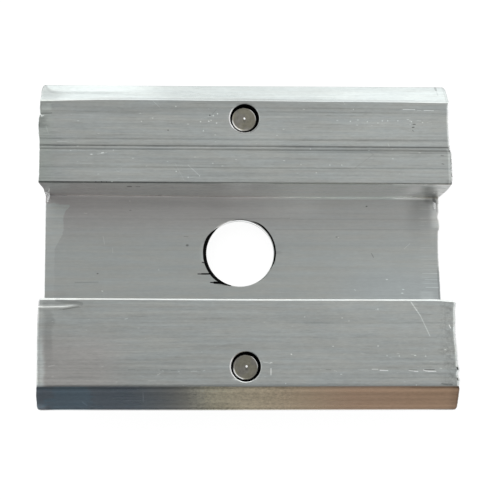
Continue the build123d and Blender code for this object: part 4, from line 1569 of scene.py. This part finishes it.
def make_cards():
    """A dark card in front that turns tan at the right, a bright low card behind, grey ones by the ends."""
    reach, near, high = 0.12, -0.055, 0.035
    make_card("front_card", [(-reach, near, 0.0), (reach, near, 0.0), (reach, near - 0.01, high),
                             (-reach, near - 0.01, high)], (
        (0.0, (0.10, 0.13, 0.155)), (0.46, (0.10, 0.125, 0.15)), (0.475, (0.14, 0.145, 0.15)),
        (0.492, (0.36, 0.34, 0.28)), (0.60, (0.44, 0.34, 0.25)), (0.75, (0.42, 0.31, 0.22)),
        (1.0, (0.40, 0.30, 0.22))), -reach, reach, 1.0)
    near, far = 0.05, 0.20
    make_card("back_card", level_corners(-0.2, 0.2, near, far, 0.001), (
        (0.0, (0.97, 1.0, 0.99)), (0.45, (0.92, 0.95, 0.95)), (0.52, (0.88, 0.91, 0.91)),
        (1.0, (0.97, 1.0, 1.0))), -0.12, 0.12, 1.6)
    level, out = 0.0003, 0.1
    for name, inner, outer, grey in (("left_card", -0.024, -out, 0.27), ("right_card", 0.0248, out, 0.6)):
        corners = level_corners(min(inner, outer), max(inner, outer), -0.045, 0.045, level)
        make_card(name, corners, ((0.0, (grey,) * 3), (1.0, (grey,) * 3)), -out, out, 1.0)


def make_world():
    world = bpy.data.worlds.new("studio")
    world.use_nodes = True
    graph = Graph(world.node_tree)
    level = seen_rays(graph).ramp(0.0, 1.0, 0.75, 1.0)
    sky = graph.add("ShaderNodeBackground", sockets={"Color": (1.0, 1.0, 1.0), "Strength": level})
    graph.add("ShaderNodeOutputWorld", sockets={"Surface": sky.outputs[0]})
    bpy.context.scene.world = world


def make_lamp():
    lamp = bpy.data.lights.new("soft_key", "AREA")
    lamp.shape = "SQUARE"
    lamp.size = 0.5
    lamp.energy = 3.0
    obj = new_object("soft_key", lamp)
    obj.location = (-0.25, 0.35, 0.7)
    obj.rotation_mode = "QUATERNION"
    obj.rotation_quaternion = (-obj.location).to_track_quat("-Z", "Y")
    obj.visible_glossy = False
    obj.visible_camera = False


def make_camera(stage):
    camera = bpy.data.cameras.new("camera")
    camera.sensor_width = 36.0
    camera.lens = stage.lens
    camera.clip_start = 0.01
    camera.clip_end = 20.0
    obj = new_object("camera", camera)
    turn = Matrix((
        (0.99886583, -0.00294814, -0.0475222),
        (-0.00493158, 0.9863073, -0.16484415),
        (0.04735748, 0.16489155, 0.98517412),
    ))
    obj.matrix_world = Matrix.Translation((-0.00685911, -0.0275814, 0.17008324)) @ turn.to_4x4()
    bpy.context.scene.camera = obj


class MakeStage(bpy.types.Operator):
    """Makes the pale floor, the studio light and the camera"""

    bl_idname = "clamp.make_stage"
    bl_label = "Stage"

    def execute(self, context):
        stage = context.scene.clamp_stage
        make_floor(stage)
        make_arch(stage)
        make_cards()
        make_world()
        make_lamp()
        make_camera(stage)
        context.scene.view_settings.view_transform = "Standard"
        return {"FINISHED"}


# ---------------------------------------------------------------- panel and main


class ClampPanel(bpy.types.Panel):
    """Lists the steps that make the clamp"""

    bl_idname = "VIEW3D_PT_mid_clamp"
    bl_label = "Mid Clamp"
    bl_space_type = "VIEW_3D"
    bl_region_type = "UI"
    bl_category = "Mid Clamp"

    def draw(self, context):
        for operator in OPERATORS:
            self.layout.operator(operator.bl_idname)


OPERATORS = (MakeClampBody, MakeBurrs, MakeGroundingPins, MakeStage)
GROUPS = {"clamp_sizes": ClampSizes, "clamp_finish": ClampFinish, "clamp_stage": ClampStage}


def register():
    for group in GROUPS.values():
        bpy.utils.register_class(group)
    for name, group in GROUPS.items():
        setattr(bpy.types.Scene, name, PointerProperty(type=group))
    for operator in OPERATORS:
        bpy.utils.register_class(operator)
    bpy.utils.register_class(ClampPanel)


def unregister():
    bpy.utils.unregister_class(ClampPanel)
    for operator in reversed(OPERATORS):
        bpy.utils.unregister_class(operator)
    for name in GROUPS:
        delattr(bpy.types.Scene, name)
    for group in GROUPS.values():
        bpy.utils.unregister_class(group)


def main():
    register()
    bpy.ops.clamp.make_body()
    bpy.ops.clamp.make_burrs()
    bpy.ops.clamp.make_pins()
    bpy.ops.clamp.make_stage()


if __name__ == "__main__":
    main()
